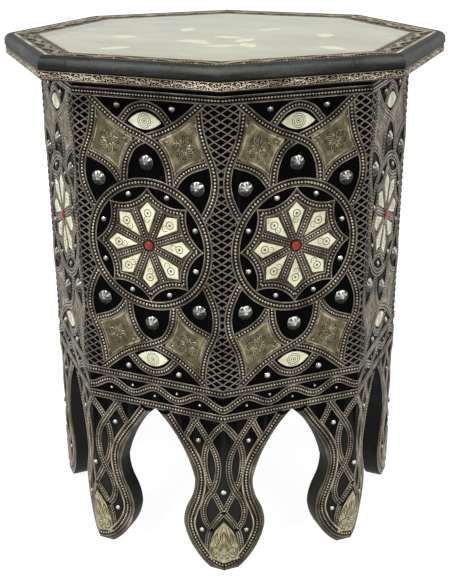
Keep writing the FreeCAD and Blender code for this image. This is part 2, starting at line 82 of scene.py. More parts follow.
# %% [markdown]
# ## Surfaces
#
# Each piece is a numpy surface: a section carried along a path, a dome repeated at many places,
# a low plate with a bevelled edge, or a sheet drawn between two lines. Every point also keeps a
# number called `polish`, from 0 in the tarnished hollows to 1 on the worn tops, and the metal
# finishes read it. The real metal got its look in the same way: the patina stayed in the hollows
# when the rest was worn bright. On some pieces the polish also holds painted light and shade: the
# upper and lower sides of the studs, the band across the nosing, the crests of the plates and
# the dark inner wall of the border.
#
# On an upright face a point is (across, up, out from the wood), and on the top it is (x, y, up
# from the board). Points past the mitre between two sides are moved to it, so the pattern of
# one side meets the next exactly at the corner.

# %% Collect surfaces and turn them into meshes
def grid(rows, cols, wrap=False):
    """Quads of a grid of points: rows along it, columns across it."""
    r = np.arange(rows - 1)[:, None]
    c = np.arange(cols if wrap else cols - 1)[None, :]
    after = (c + 1) % cols
    corners = (r * cols + c, r * cols + after, (r + 1) * cols + after, (r + 1) * cols + c)
    return np.stack(np.broadcast_arrays(*corners), axis=-1).reshape(-1, 4)


def fan(count, first, pole):
    """Triangles from a closed row of points to one pole."""
    i = np.arange(count)
    return np.column_stack([first + i, first + (i + 1) % count, np.full(count, pole)])


class Skin:
    """Surfaces of one piece on side 1: points, the polish of each point, and faces."""

    def __init__(self):
        self.points, self.polish, self.faces, self.count = [], [], [], 0

    def add(self, points, polish, faces, mitred=True):
        """Adds points (last axis xyz) with arrays of faces that count from the first of them."""
        points = np.array(points, float).reshape(-1, 3)
        outside = np.zeros(len(points), bool)
        if mitred:
            limit = -points[:, 1] * SLOPE
            outside = np.abs(points[:, 0]) > limit
            points[:, 0] = np.clip(points[:, 0], -limit, limit)
        for group in faces if isinstance(faces, list) else [faces]:
            self.faces.append(group[~outside[group].all(axis=1)] + self.count)
        self.points.append(points)
        polish = np.full(len(points), polish) if np.isscalar(polish) else np.ravel(polish)
        self.polish.append(polish.astype(float))
        self.count += len(points)


def turned(points, side):
    """Points of side 1 turned to another side."""
    c, s = math.cos(TURN * side), math.sin(TURN * side)
    return points @ np.array([[c, s, 0], [-s, c, 0], [0, 0, 1]])


def add_object(name, data):
    """A new object in the scene."""
    item = bpy.data.objects.new(name, data)
    bpy.context.scene.collection.objects.link(item)
    return item


def make_piece(name, skin, finish, sides=(0,), smooth=True):
    """One object that holds the skin on one side or several, with its place in the mesh."""
    flat = np.vstack(skin.points)
    points = np.vstack([turned(flat, side) for side in sides]) * MM
    groups = [faces + i * len(flat) for i in range(len(sides)) for faces in skin.faces]
    loops = np.concatenate([faces.ravel() for faces in groups])
    sizes = np.concatenate([np.full(len(faces), faces.shape[1]) for faces in groups])
    mesh = bpy.data.meshes.new(name)
    mesh.vertices.add(len(points))
    mesh.vertices.foreach_set("co", points.astype(np.float32).ravel())
    mesh.loops.add(len(loops))
    mesh.loops.foreach_set("vertex_index", loops.astype(np.int32))
    mesh.polygons.add(len(sizes))
    mesh.polygons.foreach_set("loop_start", (np.cumsum(sizes) - sizes).astype(np.int32))
    mesh.update(calc_edges=True)
    mesh.polygons.foreach_set("use_smooth", np.full(len(sizes), smooth))
    worn = mesh.attributes.new("polish", "FLOAT", "POINT")
    worn.data.foreach_set("value", np.tile(np.concatenate(skin.polish), len(sides)).astype(np.float32))
    mesh.materials.append(finish)
    piece = add_object(name, mesh)
    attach(piece, "table")
    return piece


def on_every_side(stem, skin, finish, replaced=None):
    """The piece on all eight sides; each may stand for the CAD node of its side."""
    for side in range(SIDES):
        piece = make_piece(f"{stem}_{side + 1}", skin, finish, (side,))
        if replaced:
            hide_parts(f"{replaced}_{side + 1}")
    print(f"{stem}: {sum(len(faces) for faces in skin.faces)} faces on each side")


def round_the_table(name, skin, finish, replaced=None, smooth=True):
    """One object that holds the piece of all eight sides."""
    piece = make_piece(name, skin, finish, range(SIDES), smooth=smooth)
    if replaced:
        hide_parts(replaced)
    print(f"{name}: {SIDES * sum(len(faces) for faces in skin.faces)} faces")


# %% [markdown]
# ## Paths and sections
#
# The real straps are strips of beaded wire, bent along a line and nailed down. So a strap here is
# a line drawn on the face, and a section carried along it. The lines are arcs, or smooth curves
# through a few measured places, and their points lie at even steps so that the faces do too.

# %% Draw lines
STEP, FINE_STEP = 2.0, 1.0
CURVE_POINTS = 16


def evenly(path, step=STEP):
    """The same path with its points a nearly equal step apart."""
    along = np.concatenate([[0], np.cumsum(np.linalg.norm(np.diff(path, axis=0), axis=1))])
    count = max(2, int(round(along[-1] / step)) + 1)
    places = np.linspace(0, along[-1], count)
    return np.column_stack([np.interp(places, along, path[:, i]) for i in range(2)])


def smooth_path(corners, step=STEP):
    """A rounded path through a few places: cubics that leave each place along its neighbours' chord.

    Between places b and c, with a before them and d after them, the point at t from 0 to 1 is
    b + ((c - a) t + (2a - 5b + 4c - d) t^2 + (3b - a - 3c + d) t^3) / 2.
    """
    p = np.array(corners, float)
    p = np.vstack([2 * p[0] - p[1], p, 2 * p[-1] - p[-2]])
    t = np.linspace(0, 1, CURVE_POINTS, endpoint=False)[:, None]
    runs = []
    for a, b, c, d in zip(p, p[1:], p[2:], p[3:]):
        bend, twist = 2 * a - 5 * b + 4 * c - d, 3 * b - a - 3 * c + d
        runs.append(b + (c - a) * t / 2 + bend * t**2 / 2 + twist * t**3 / 2)
    return evenly(np.vstack(runs + [p[-2:-1]]), step)


def arc(centre, radius, start, end, step=STEP):
    """A circular path from one angle to another, in degrees."""
    count = max(3, int(abs(math.radians(end - start)) * radius / step) + 1)
    a = np.radians(np.linspace(start, end, count))
    return np.column_stack([centre[0] + radius * np.cos(a), centre[1] + radius * np.sin(a)])


def flipped(path):
    """The path on the other side of the medallion's centre, up for down."""
    return path * [1, -1] + [0, 2 * CENTRE_Z]


def two(path):
    """The path and its mirror image on the other half of the face."""
    return [path, path * [-1, 1]]


def four(path):
    """The path in all four quarters about the medallion."""
    return two(path) + two(flipped(path))


print("a circle of radius 10 has", len(arc((0, 0), 10, 0, 360)), "points at the usual step")

# %% Carry sections, set domes and cut tablets
CHANCE = np.random.default_rng(8)


def facing(reach):
    """Turns (across, up, out) into points on side 1, out from a plane at a reach from the axis."""

    def place(x, z, out):
        x, z, out = np.broadcast_arrays(x, z, out)
        return np.stack([x, -(reach + out), z], axis=-1)

    return place


def lying(level, flattening=1):
    """Turns (x, y, up) into points over a level plane; heights are multiplied by flattening."""

    def place(x, y, up):
        x, y, up = np.broadcast_arrays(x, y, up)
        return np.stack([x, y, level + up * flattening], axis=-1)

    return place


upright = facing(WOOD_FACE)


def sides_of(path, closed=False):
    """Unit vectors to the right of the path at each of its points."""
    run = np.roll(path, -1, axis=0) - np.roll(path, 1, axis=0) if closed else np.gradient(path, axis=0)
    run /= np.linalg.norm(run, axis=1)[:, None]
    return np.column_stack([run[:, 1], -run[:, 0]])


def carry(skin, path, section, place=upright, closed=False, press=None):
    """Carries a section of (across, out, polish) rows along a path on a plane.

    The point of row r at place p is p + right * across[r], lifted by out[r], where right is the
    unit vector square to the path. press may then change the heights and the polish.
    """
    across, out, polish = np.array(section, float).T
    right = sides_of(path, closed)
    if closed:
        path, right = np.vstack([path, path[:1]]), np.vstack([right, right[:1]])
    flat = path[:, None, :] + right[:, None, :] * across[None, :, None]
    out = np.tile(out, (len(path), 1))
    polish = np.tile(polish, (len(path), 1))
    if press is not None:
        out, polish = press(flat, out, polish)
    skin.add(place(flat[..., 0], flat[..., 1], out), polish, grid(*out.shape))


def domes(
    skin, centres, radius, height, base=0.0, place=upright, around=8, rings=3, rim=0.25, lobes=(),
    mitred=False, uneven=0.0, lean=0.0,
):
    """A dome at each centre: ring i lies at radius * cos(a), base + height * sin(a), a from 0 to 90.

    uneven is the spread of their sizes, drawn from CHANCE. rim is the polish at the rim, and lean
    paints light on the upper side of the slope and shade on the lower side, through the polish.
    Each row of lobes, which is (count, depth, twist), presses valleys into the slope: the height
    is cut by depth * (1 - cos(count * spin + twist * a)) / 2 * sin(2a).
    """
    centres = np.asarray(centres, float).reshape(-1, 2)
    angle = np.linspace(0, math.pi / 2, rings, endpoint=False)[:, None]
    spin = np.linspace(0, 2 * math.pi, around, endpoint=False)[None, :]
    valley = np.zeros((rings, around))
    for lobe_count, depth, twist in lobes:
        valley += depth * (1 - np.cos(lobe_count * spin + twist * angle)) / 2 * np.sin(2 * angle)
    r = radius * np.cos(angle)
    x = np.append(np.ravel(r * np.cos(spin)), 0)
    y = np.append(np.ravel(r * np.sin(spin)), 0)
    out = np.append(np.ravel(base + height * np.sin(angle) * (1 - valley)), base + height)
    # Painted light on the upper side of the slope and painted shade on the lower side
    lit = np.sin(spin) * np.sin(2 * angle) - np.sin(angle) / 2
    shine = rim + (1 - rim) * np.sin(angle) + lean * lit
    shine = np.append(np.ravel(shine * (1 - 2 * valley)), 1 - lean / 2)
    size = len(x)
    scale = 1 + uneven * CHANCE.uniform(-1, 1, (len(centres), 1))
    places = centres[:, :1] + x * scale, centres[:, 1:] + y * scale
    points = place(*places, base + (out[None, :] - base) * scale)
    starts = np.arange(len(centres))[:, None, None] * size
    faces = [grid(rings, around, wrap=True), fan(around, (rings - 1) * around, size - 1)]
    faces = [(group[None] + starts).reshape(-1, group.shape[1]) for group in faces]
    skin.add(points, np.tile(np.clip(shine, 0, 1), len(centres)), faces, mitred)


def tablet(skin, outline, levels, place=upright):
    """A low plate: its outline at the first level, drawn in by each later (inset, out, polish).

    A corner between sides with the inward unit vectors m and n moves by
    inset * 2 (m + n) / |m + n|^2, so that the sides keep their directions.
    """
    outline = np.asarray(outline, float)
    count = len(outline)
    ahead = np.roll(outline, -1, axis=0) - outline
    ahead /= np.linalg.norm(ahead, axis=1)[:, None]
    left = np.column_stack([-ahead[:, 1], ahead[:, 0]])
    both = left + np.roll(left, 1, axis=0)
    inward = 2 * both / (both**2).sum(axis=1)[:, None]
    rows = [(outline + inward * inset, out, polish) for inset, out, polish in levels]
    flat = np.vstack([row[0] for row in rows] + [outline.mean(axis=0)[None]])
    out = np.append(np.repeat([row[1] for row in rows], count), rows[-1][1])
    polish = np.append(np.repeat([row[2] for row in rows], count), rows[-1][2])
    last = (len(rows) - 1) * count
    faces = [grid(len(rows), count, wrap=True), fan(count, last, last + count)]
    skin.add(place(flat[:, 0], flat[:, 1], out), polish, faces)


# %% [markdown]
# ## Finishes
#
# Each finish is one node graph on Object coordinates. A metal reads `polish`, adds patches of
# tarnish from noise and turns the sum into colour, roughness and a fine bump. The others are
# driven by noise alone, and the black wood also by height, for a painted sheen low down. One
# function lays out the graph, and each finish is then a few numbers, so that all of them have
# colour variation, wear and grain at their own scale.

# %% Lay out a finish
PATCH_SHARE, SPECKLE_SHARE, GRAIN_SHARE, PAINTED_SHEEN_SHARE = 0.8, 0.4, 0.35, 0.5
BUMP_DEPTH = 0.0003


def node_makers(tree):
    """Two functions for a node tree: one adds linked nodes, and one adds math nodes."""

    def node(kind, settings=None, **inputs):
        """Adds a node; an input that is a socket is linked, and any other value is set."""
        item = tree.nodes.new(kind)
        for key, value in (settings or {}).items():
            setattr(item, key, value)
        for key, value in inputs.items():
            socket = item.inputs[int(key[1:]) if key[1:].isdigit() else key.replace("_", " ")]
            if isinstance(value, bpy.types.NodeSocket):
                tree.links.new(value, socket)
            else:
                socket.default_value = value
        return item

    def maths(operation, *values, clamp=False):
        """The result of a math node on sockets and numbers."""
        inputs = {f"_{i}": value for i, value in enumerate(values)}
        settings = {"operation": operation, "use_clamp": clamp}
        return node("ShaderNodeMath", settings, **inputs).outputs[0]

    return node, maths


def new_material(name):
    """A material with a node tree of its own."""
    material = bpy.data.materials.new(name)
    material.use_nodes = True
    return material


def colour_ramp(node, factor, stops):
    """A colour ramp with (place, colour) stops."""
    ramp = node("ShaderNodeValToRGB", Fac=factor)
    elements = ramp.color_ramp.elements
    while len(elements) < len(stops):
        elements.new(0.5)
    for element, (position, colour) in zip(elements, stops):
        element.position = position
        element.color = (*colour, 1)
    return ramp.outputs["Color"]


def make_finish(
    name, stops, roughness, metallic=0.0, worn=False, patch=25.0, grain=600.0, bump=0.15,
    stretch=(1, 1, 1), painted_sheen_below=None, **shader
):
    """A finish from colour stops; roughness runs from the first stop's to the last one's.

    patch and grain are the scales of the two noises, and stretch draws both out. worn mixes the
    points' polish with patches of tarnish.
    faded (low, high) adds PAINTED_SHEEN_SHARE to the level at the height low, and nothing from high up.
    This is a painted sheen: the lower parts get a lighter colour and a lower roughness.
    """
    material = new_material(name)
    node, maths = node_makers(material.node_tree)
    place = node("ShaderNodeTexCoord").outputs["Object"]
    drawn = node("ShaderNodeVectorMath", {"operation": "MULTIPLY"}, _0=place, _1=stretch).outputs[0]
    patches = node("ShaderNodeTexNoise", Vector=drawn, Scale=patch, Detail=6.0, Roughness=0.6)
    patches = patches.outputs[0]
    grains = node("ShaderNodeTexNoise", Vector=drawn, Scale=grain, Detail=3.0).outputs[0]
    if worn:
        polish = node("ShaderNodeAttribute", {"attribute_name": "polish"}).outputs["Fac"]
        tarnish = maths("MULTIPLY_ADD", patches, PATCH_SHARE, -PATCH_SHARE / 2)
        speckle = maths("MULTIPLY_ADD", grains, SPECKLE_SHARE, -SPECKLE_SHARE / 2)
        level = maths("ADD", polish, maths("ADD", tarnish, speckle), clamp=True)
    else:
        level = maths("MULTIPLY_ADD", grains, GRAIN_SHARE, patches)
        level = maths("SUBTRACT", level, GRAIN_SHARE / 2, clamp=True)
    # Painted sheen: the level, and with it the colour, rises towards the bottom
    if painted_sheen_below:
        height = node("ShaderNodeSeparateXYZ", Vector=place).outputs["Z"]
        painted_sheen = node("ShaderNodeMapRange", _0=height, _1=painted_sheen_below[0], _2=painted_sheen_below[1], _3=PAINTED_SHEEN_SHARE, _4=0.0)
        level = maths("ADD", level, painted_sheen.outputs[0], clamp=True)
    surface, links = material.node_tree.nodes["Principled BSDF"], material.node_tree.links
    links.new(colour_ramp(node, level, stops), surface.inputs["Base Color"])
    rough = node("ShaderNodeMapRange", _0=level, _3=roughness[0], _4=roughness[1]).outputs[0]
    links.new(rough, surface.inputs["Roughness"])
    relief = node("ShaderNodeBump", Height=grains, Strength=bump, Distance=BUMP_DEPTH).outputs[0]
    links.new(relief, surface.inputs["Normal"])
    surface.inputs["Metallic"].default_value = metallic
    for key, value in shader.items():
        surface.inputs[key.replace("_", " ")].default_value = value
    return material


# %% Name the finishes of this table
# Black wood: lighter low down, on the legs, as a painted sheen set by height
BLACK_WOOD = make_finish(
    "black_lacquered_wood",
    [(0.3, (0.0005, 0.0005, 0.0007)), (0.65, (0.001, 0.001, 0.0014)), (1.0, (0.019, 0.0195, 0.0175))],
    (0.55, 0.42), stretch=(3, 3, 0.3), bump=0.25, painted_sheen_below=(0.11, 0.2), Specular_IOR_Level=0.02,
)
STRAP_METAL = make_finish(
    "tarnished_strap_metal",
    [
        (0.1, (0.005, 0.004, 0.003)), (0.45, (0.028, 0.0235, 0.017)),
        (0.75, (0.108, 0.093, 0.068)), (1.0, (0.42, 0.38, 0.3)),
    ],
    (0.6, 0.3), metallic=0.95, worn=True, patch=45, grain=900, bump=0.2,
)
NET_METAL = make_finish(
    "tarnished_net_wire",
    [(0.1, (0.005, 0.0045, 0.004)), (0.5, (0.042, 0.038, 0.03)), (1.0, (0.215, 0.193, 0.153))],
    (0.6, 0.4), metallic=0.9, worn=True,
)
STUD_METAL = make_finish(
    "stud_metal",
    [
        (0.05, (0.004, 0.004, 0.004)), (0.45, (0.03, 0.029, 0.027)),
        (0.75, (0.14, 0.136, 0.125)), (1.0, (0.68, 0.66, 0.6)),
    ],
    (0.4, 0.16), metallic=1.0, worn=True, patch=90,
)
EMBOSSED_METAL = make_finish(
    "olive_embossed_metal",
    [(0.05, (0.008, 0.0065, 0.003)), (0.5, (0.096, 0.084, 0.048)), (1.0, (0.5, 0.44, 0.27))],
    (0.6, 0.34), metallic=0.85, worn=True, patch=90, grain=700, bump=0.8,
)
PALE_BRASS = make_finish(
    "pale_brass",
    [(0.05, (0.02, 0.016, 0.007)), (0.5, (0.21, 0.185, 0.1)), (1.0, (0.6, 0.54, 0.33))],
    (0.55, 0.36), metallic=0.8, worn=True, patch=60, bump=0.3,
)
SCROLL_METAL = make_finish(
    "scroll_band_metal",
    [
        (0.05, (0.009, 0.006, 0.004)), (0.45, (0.036, 0.027, 0.016)),
        (0.8, (0.23, 0.195, 0.125)), (1.0, (0.86, 0.78, 0.6)),
    ],
    (0.6, 0.32), metallic=0.9, worn=True,
)
BORDER_METAL = make_finish(
    "dull_border_brass",
    [
        (0.05, (0.006, 0.005, 0.003)), (0.5, (0.048, 0.04, 0.023)),
        (0.85, (0.18, 0.152, 0.094)), (1.0, (0.44, 0.38, 0.255)),
    ],
    (0.6, 0.34), metallic=0.9, worn=True, patch=50,
)
BONE = make_finish(
    "bone",
    [(0.3, (0.42, 0.4, 0.23)), (0.5, (0.64, 0.63, 0.42)), (0.72, (0.78, 0.77, 0.58))],
    (0.42, 0.34), patch=60, grain=1500, bump=0.08, Subsurface_Weight=0.08, Coat_Weight=0.15,
)
INK = make_finish("engraved_lines", [(0.3, (0.012, 0.011, 0.008)), (0.7, (0.04, 0.036, 0.026))], (0.7, 0.6))
PRESSED_DARK = make_finish(
    "dark_pressed_lines",
    [(0.3, (0.006, 0.005, 0.003)), (0.7, (0.016, 0.013, 0.008))],
    (0.8, 0.7), Specular_IOR_Level=0.1,
)
STONE = make_finish(
    "red_glass_stone",
    [(0.3, (0.1, 0.002, 0.001)), (0.7, (0.38, 0.012, 0.003))],
    (0.2, 0.35), patch=220, bump=0.1, Specular_IOR_Level=0.35,
)
# Its lightest stop gives the painted highlight band of the nosing
MOULDING_BLACK = make_finish(
    "slate_black_lacquer",
    [(0.05, (0.0015, 0.0017, 0.0016)), (0.5, (0.0085, 0.0092, 0.0085)), (1.0, (0.105, 0.11, 0.1))],
    (0.42, 0.6), worn=True, patch=26, grain=500,
    stretch=(0.6, 0.6, 4), bump=0.2, Specular_IOR_Level=0.1,
)
INLAY_FIELD = make_finish(
    "pale_inlaid_panel",
    [(0.34, (0.225, 0.22, 0.14)), (0.52, (0.312, 0.305, 0.202)), (0.7, (0.43, 0.415, 0.295))],
    (0.5, 0.4), patch=18, grain=300, stretch=(0.6, 1.6, 1), bump=0.01, Specular_IOR_Level=0.1,
)
INLAY_BONE = make_finish(
    "bone_under_glass",
    [(0.3, (0.46, 0.455, 0.32)), (0.5, (0.66, 0.645, 0.47)), (0.7, (0.78, 0.73, 0.58))],
    (0.45, 0.35), patch=45,
)
print("finishes:", ", ".join(material.name for material in bpy.data.materials))

# %% [markdown]
# ## Strapwork of one side
#
# All straps are one section: a thin bright wire at each edge and a dark channel between them,
# with a row of beads along the middle. Their middle lines are listed from the lowest strap to
# the highest, because the real straps pass over and under each other. Where a later strap
# crosses, the earlier one is pressed flat under it and loses its beads, so each crossing reads
# as one strap over another.

# %% Middle lines of the straps
RING_RADIUS = 62.75
STAR_ARC_CENTRE = 83.5
STAR_ARC_RADIUS = 41.0
STAR_ARC_POINTS = 33
SPOKE_START, SPOKE_END = 6.0, 39.0
TOP_BAND_Z, UPPER_BAND_Z, LOWER_BAND_Z = 504.5, 213.0, 185.0
WAVE_Z, WAVE_RISE, WAVE_LENGTH = 200.0, 5.0, 2 * CORNER / 3
HALF_RAY = math.degrees(TURN / 2)

OGIVE = [
    (58, 500.5), (52.5, 495.5), (35, 481), (18, 471.5), (0, 464.5), (-14, 456), (-22, 441),
    (-24.5, 425), (-24, 418),
]
LEAF = [
    (54, 499), (55.7, 480), (59.8, 463.3), (64.8, 451.7), (69, 440), (70.4, 426.7), (68, 413.3),
    (61.5, 398.3), (56, 390),
]
WING = [(66, 447.5), (59, 444.5), (46.5, 439.5), (36.5, 432.5), (29.5, 423.5), (27, 418)]
EYE_ARCH = [(-27, 478), (-23.5, 481.5), (-14, 491.5), (0, 496), (14, 491.5), (23.5, 481.5), (27, 478)]
ARCH_EDGE = [
    (14.3, 178.3), (26.8, 160), (38.5, 144), (47.5, 128), (51.3, 113), (50.7, 98), (47, 82),
    (42.3, 69), (38.8, 57), (38.9, 46.5), (42.8, 35), (49.5, 23.5), (58.3, 13.2), (68, 8.0),
    (CORNER, 6.9),
]
# These four are measured inwards from the table's corner
LEG_OUTER = [
    (-2, 180), (0, 178), (8, 168.5), (15.8, 156), (20, 143), (20.8, 128), (17.8, 112), (12, 98), (0, 75),
]
LEG_INNER = [
    (35, 182), (31, 178.5), (23.5, 167.5), (15.8, 156), (8.4, 143), (5.4, 128), (7, 112), (12, 98),
    (19.5, 85), (23, 71), (20.8, 58.5), (14.5, 49.5),
]
LEG_SHORT = [(27.5, 182.5), (31, 178.5), (35.5, 168), (41.5, 156.5)]
PALMETTE_EDGE = [(0, 74), (4, 68.3), (9.3, 60), (14.4, 50.5), (17.8, 39), (19.2, 27), (19.6, 13)]


def from_corner(places):
    """Places counted inwards from the table's corner, as places on the face."""
    return [(CORNER - inwards, z) for inwards, z in places]


def level_path(z):
    """A straight path right across the face."""
    return evenly(np.array([(-CORNER - STEP, z), (CORNER + STEP, z)]))


def star_arc(ray):
    """One concave side of the star, an arc that ends where it meets its neighbours."""
    middle = ray * 2 * HALF_RAY + HALF_RAY
    reach = math.degrees(math.asin(STAR_ARC_CENTRE * math.sin(TURN / 2) / STAR_ARC_RADIUS)) - HALF_RAY
    a = math.radians(middle)
    centre = (STAR_ARC_CENTRE * math.cos(a), CENTRE_Z + STAR_ARC_CENTRE * math.sin(a))
    return arc(centre, STAR_ARC_RADIUS, middle + 180 - reach, middle + 180 + reach)


def mitred_star_side(ray, section):
    """One concave side of the star as a grid: each line of its section ends on the tips' rays."""
    across, out, polish = np.array(section, float).T
    radius = STAR_ARC_RADIUS + across
    middle = (ray + 0.5) * TURN
    reach = np.arcsin(STAR_ARC_CENTRE * math.sin(TURN / 2) / radius) - TURN / 2
    t = np.linspace(-1, 1, STAR_ARC_POINTS)[:, None]
    angle = middle + math.pi + t * reach[None, :]
    x = STAR_ARC_CENTRE * math.cos(middle) + radius * np.cos(angle)
    z = CENTRE_Z + STAR_ARC_CENTRE * math.sin(middle) + radius * np.sin(angle)
    return upright(x, z, out[None, :]), np.tile(polish, (len(t), 1)), grid(len(t), len(across))


def spoke(ray):
    """One spoke between two kites."""
    a = math.radians(ray * 2 * HALF_RAY + HALF_RAY)
    ends = np.array([(r * math.cos(a), CENTRE_Z + r * math.sin(a)) for r in (SPOKE_START, SPOKE_END)])
    return evenly(ends)


wave_x = np.arange(-CORNER - STEP, CORNER + STEP, STEP)
wave = np.column_stack([wave_x, WAVE_Z + WAVE_RISE * np.cos(2 * math.pi * wave_x / WAVE_LENGTH)])
ring = arc((0, CENTRE_Z), RING_RADIUS, 0, 360)[:-1]
# Each row: paths, half width, bead radius, bead spacing, form
STRAPS = (
    (two(smooth_path(from_corner(PALMETTE_EDGE))), 2.8, 1.2, 2.8, "open"),
    (two(smooth_path(from_corner(LEG_SHORT))), 3.2, 1.3, 2.9, "open"),
    (two(smooth_path(from_corner(LEG_OUTER))), 3.2, 1.3, 2.9, "open"),
    (two(smooth_path(from_corner(LEG_INNER))), 3.2, 1.3, 2.9, "open"),
    ([wave], 3.7, 1.4, 3.1, "open"),
    (four(smooth_path(WING)), 3.6, 1.35, 3.2, "open"),
    ([smooth_path(EYE_ARCH), flipped(smooth_path(EYE_ARCH))], 3.6, 1.4, 3.2, "open"),
    (four(smooth_path(LEAF)), 3.8, 1.45, 3.4, "open"),
    (four(smooth_path(OGIVE)), 3.8, 1.45, 3.4, "open"),
    ([spoke(ray) for ray in range(SIDES)], 3.0, 1.25, 3.1, "open"),
    ([star_arc(ray) for ray in range(SIDES)], 3.8, 1.4, 3.3, "star"),
    ([ring], 4.2, 1.55, 3.45, "closed"),
    ([level_path(TOP_BAND_Z), level_path(UPPER_BAND_Z), level_path(LOWER_BAND_Z)], 3.9, 1.45, 3.2, "open"),
    (two(smooth_path(ARCH_EDGE)), 4.0, 1.5, 3.3, "open"),
)
print(sum(len(row[0]) for row in STRAPS), "straps on a side")

# %% Section of a strap, and what happens under another strap
CHANNEL_OUT, PRESSED_OUT = 0.5, 0.35
GAP_LIMIT, CROSSING_REACH, CROSSING_EDGE = 4.0, 0.5, 0.2
# From a strap's edge inwards: (past the edge, out, polish)
STRAP_WIRES = [
    (0.5, 0.02, 0.1), (0.3, 0.75, 0.5), (0.0, 1.3, 0.8), (-0.55, 1.3, 0.88), (-0.95, 0.75, 0.12),
    (-1.25, 1.05, 0.6), (-1.6, 1.05, 0.66), (-1.95, CHANNEL_OUT, 0.12),
]


def strap_section(half):
    """A strap of (across, out, polish) rows: two wires with a groove between them on each side."""
    side = [(half + past, out, polish) for past, out, polish in STRAP_WIRES]
    other = [(-across, out, polish) for across, out, polish in side]
    return other + [(0, CHANNEL_OUT, 0.1)] + side[::-1]


def gap_to(flat, paths, limit=GAP_LIMIT):
    """Distance from each point to the edge of the nearest path, at most the limit."""
    shape = flat.shape[:-1]
    flat = flat.reshape(-1, 2)
    gap = np.full(len(flat), limit)
    for path, half in paths:
        low, high = path.min(axis=0) - half - limit, path.max(axis=0) + half + limit
        some = np.flatnonzero((flat >= low).all(axis=1) & (flat <= high).all(axis=1))
        if len(some):
            apart = np.linalg.norm(flat[some, None, :] - path[None], axis=2).min(axis=1)
            gap[some] = np.minimum(gap[some], apart - half)
    return gap.reshape(shape)


def under_straps(later):
    """A press for carry: what lies under a later strap is flattened and dull."""

    def press(flat, out, polish):
        under = gap_to(flat, later, CROSSING_REACH) < -CROSSING_EDGE
        return np.where(under, np.minimum(out, PRESSED_OUT), out), np.where(under, 0, polish)

    return press


print("a strap has", len(strap_section(1)), "points across")

# %% Lay the straps and their beads
BEAD_HEIGHT, BEAD_RIM, BEAD_SPREAD = 1.25, 0.45, 0.08


def bead_places(path, spacing, closed=False):
    """Evenly spaced places along a path, symmetrical about its middle."""
    if closed:
        path = np.vstack([path, path[:1]])
    length = np.linalg.norm(np.diff(path, axis=0), axis=1).sum()
    places = evenly(path, length / max(1, round(length / spacing)))
    return places[:-1] if closed else (places[1:] + places[:-1]) / 2


strap_skin, bead_skin = Skin(), Skin()
straps = [(path, *row[1:]) for row in STRAPS for path in row[0]]
star_ray = 0
for i, (path, half, bead, spacing, form) in enumerate(straps):
    over = [(evenly(later[0], FINE_STEP), later[1]) for later in straps[i + 1:]]
    closed = form == "closed"
    within = np.column_stack([np.clip(path[:, 0], -CORNER, CORNER), path[:, 1]])
    places = bead_places(within, spacing, closed)
    if form == "star":
        strap_skin.add(*mitred_star_side(star_ray, strap_section(half)))
        star_ray += 1
    else:
        carry(strap_skin, path, strap_section(half), closed=closed, press=under_straps(over))
        places = places[gap_to(places, over, CROSSING_REACH) > CROSSING_EDGE]
    domes(bead_skin, places, bead, BEAD_HEIGHT, CHANNEL_OUT, rim=BEAD_RIM, uneven=BEAD_SPREAD)
on_every_side("strap_wires", strap_skin, STRAP_METAL, "filigree")
on_every_side("strap_beads", bead_skin, STRAP_METAL)

# %% [markdown]
# ## Wire net at the corners
#
# Behind the outer straps lies a net of flattened wire. It is woven: along each wire the height
# follows a cosine with one crest at every second crossing, and the wires of the other direction
# use the opposite sign. A column of crossings lies on the table's corner, so the net of one side
# runs on over the next.

# %% Weave the net
CELL_WIDTH, CELL_HEIGHT = 12.3, 7.5
NET_CELLS, CELL_STEPS, SPARE_ROWS = 3, 8, 10
# Added to the end of a range, so that its last step is kept
NUDGE = 0.1
NET_OUT, NET_WEAVE = 0.32, 0.22
CORNER_BEND, CORNER_PRESS = 1.8, 0.6
NET_SECTION = [(-0.8, 0.0, 0.15), (-0.5, 0.5, 0.7), (0.0, 0.6, 0.95), (0.5, 0.5, 0.7), (0.8, 0.0, 0.15)]
RING_REACH, LEAF_REACH = RING_RADIUS + 3.6, 2.6
NET_TOP_PLACE = (56.0, 504.0)
net_edge = np.vstack([[NET_TOP_PLACE], smooth_path(LEAF)[:-2]])


def net_start(z):
    """How far across the net begins at a height: outside the leaf strap, or outside the ring."""
    rise = np.abs(z - CENTRE_Z)
    leaf = np.interp(rise, net_edge[::-1, 1] - CENTRE_Z, net_edge[::-1, 0]) + LEAF_REACH
    leaf = np.where(rise > net_edge[-1, 1] - CENTRE_Z, leaf, 0)
    return np.maximum(leaf, np.sqrt(np.maximum(RING_REACH**2 - rise**2, 0)))


def woven(lift):
    """A press for carry: each point rises by its part of the weave, and less at the corner.

    The share that is left out falls off as exp(-(distance from the corner / CORNER_BEND)^2).
    """

    def press(flat, out, polish):
        bent = np.exp(-(((CORNER - np.abs(flat[..., 0])) / CORNER_BEND) ** 2))
        return (out + lift[:, None]) * (1 - CORNER_PRESS * bent), polish

    return press


net_skin = Skin()
net_x = np.arange(CORNER - NET_CELLS * CELL_WIDTH, CORNER + NUDGE, CELL_WIDTH / CELL_STEPS)
phase = np.cos(2 * math.pi * (net_x - CORNER) / CELL_WIDTH)
lowest, highest = UPPER_BAND_Z + LEAF_REACH, TOP_BAND_Z - LEAF_REACH
for row in range(-SPARE_ROWS, int((highest - lowest) / CELL_HEIGHT) + SPARE_ROWS):
    for slope in (1, -1):
        net_z = lowest + row * CELL_HEIGHT + slope * (net_x - CORNER) * CELL_HEIGHT / CELL_WIDTH
        shown = (net_x > net_start(net_z)) & (net_z > lowest) & (net_z < highest)
        if shown.sum() < 2:
            continue
        for mirror in (1, -1):
            path = np.column_stack([net_x, net_z])[shown][::mirror] * [mirror, 1]
            lift = (NET_OUT + slope * NET_WEAVE * phase)[shown][::mirror]
            carry(net_skin, path, NET_SECTION, press=woven(lift))
on_every_side("corner_net", net_skin, NET_METAL)
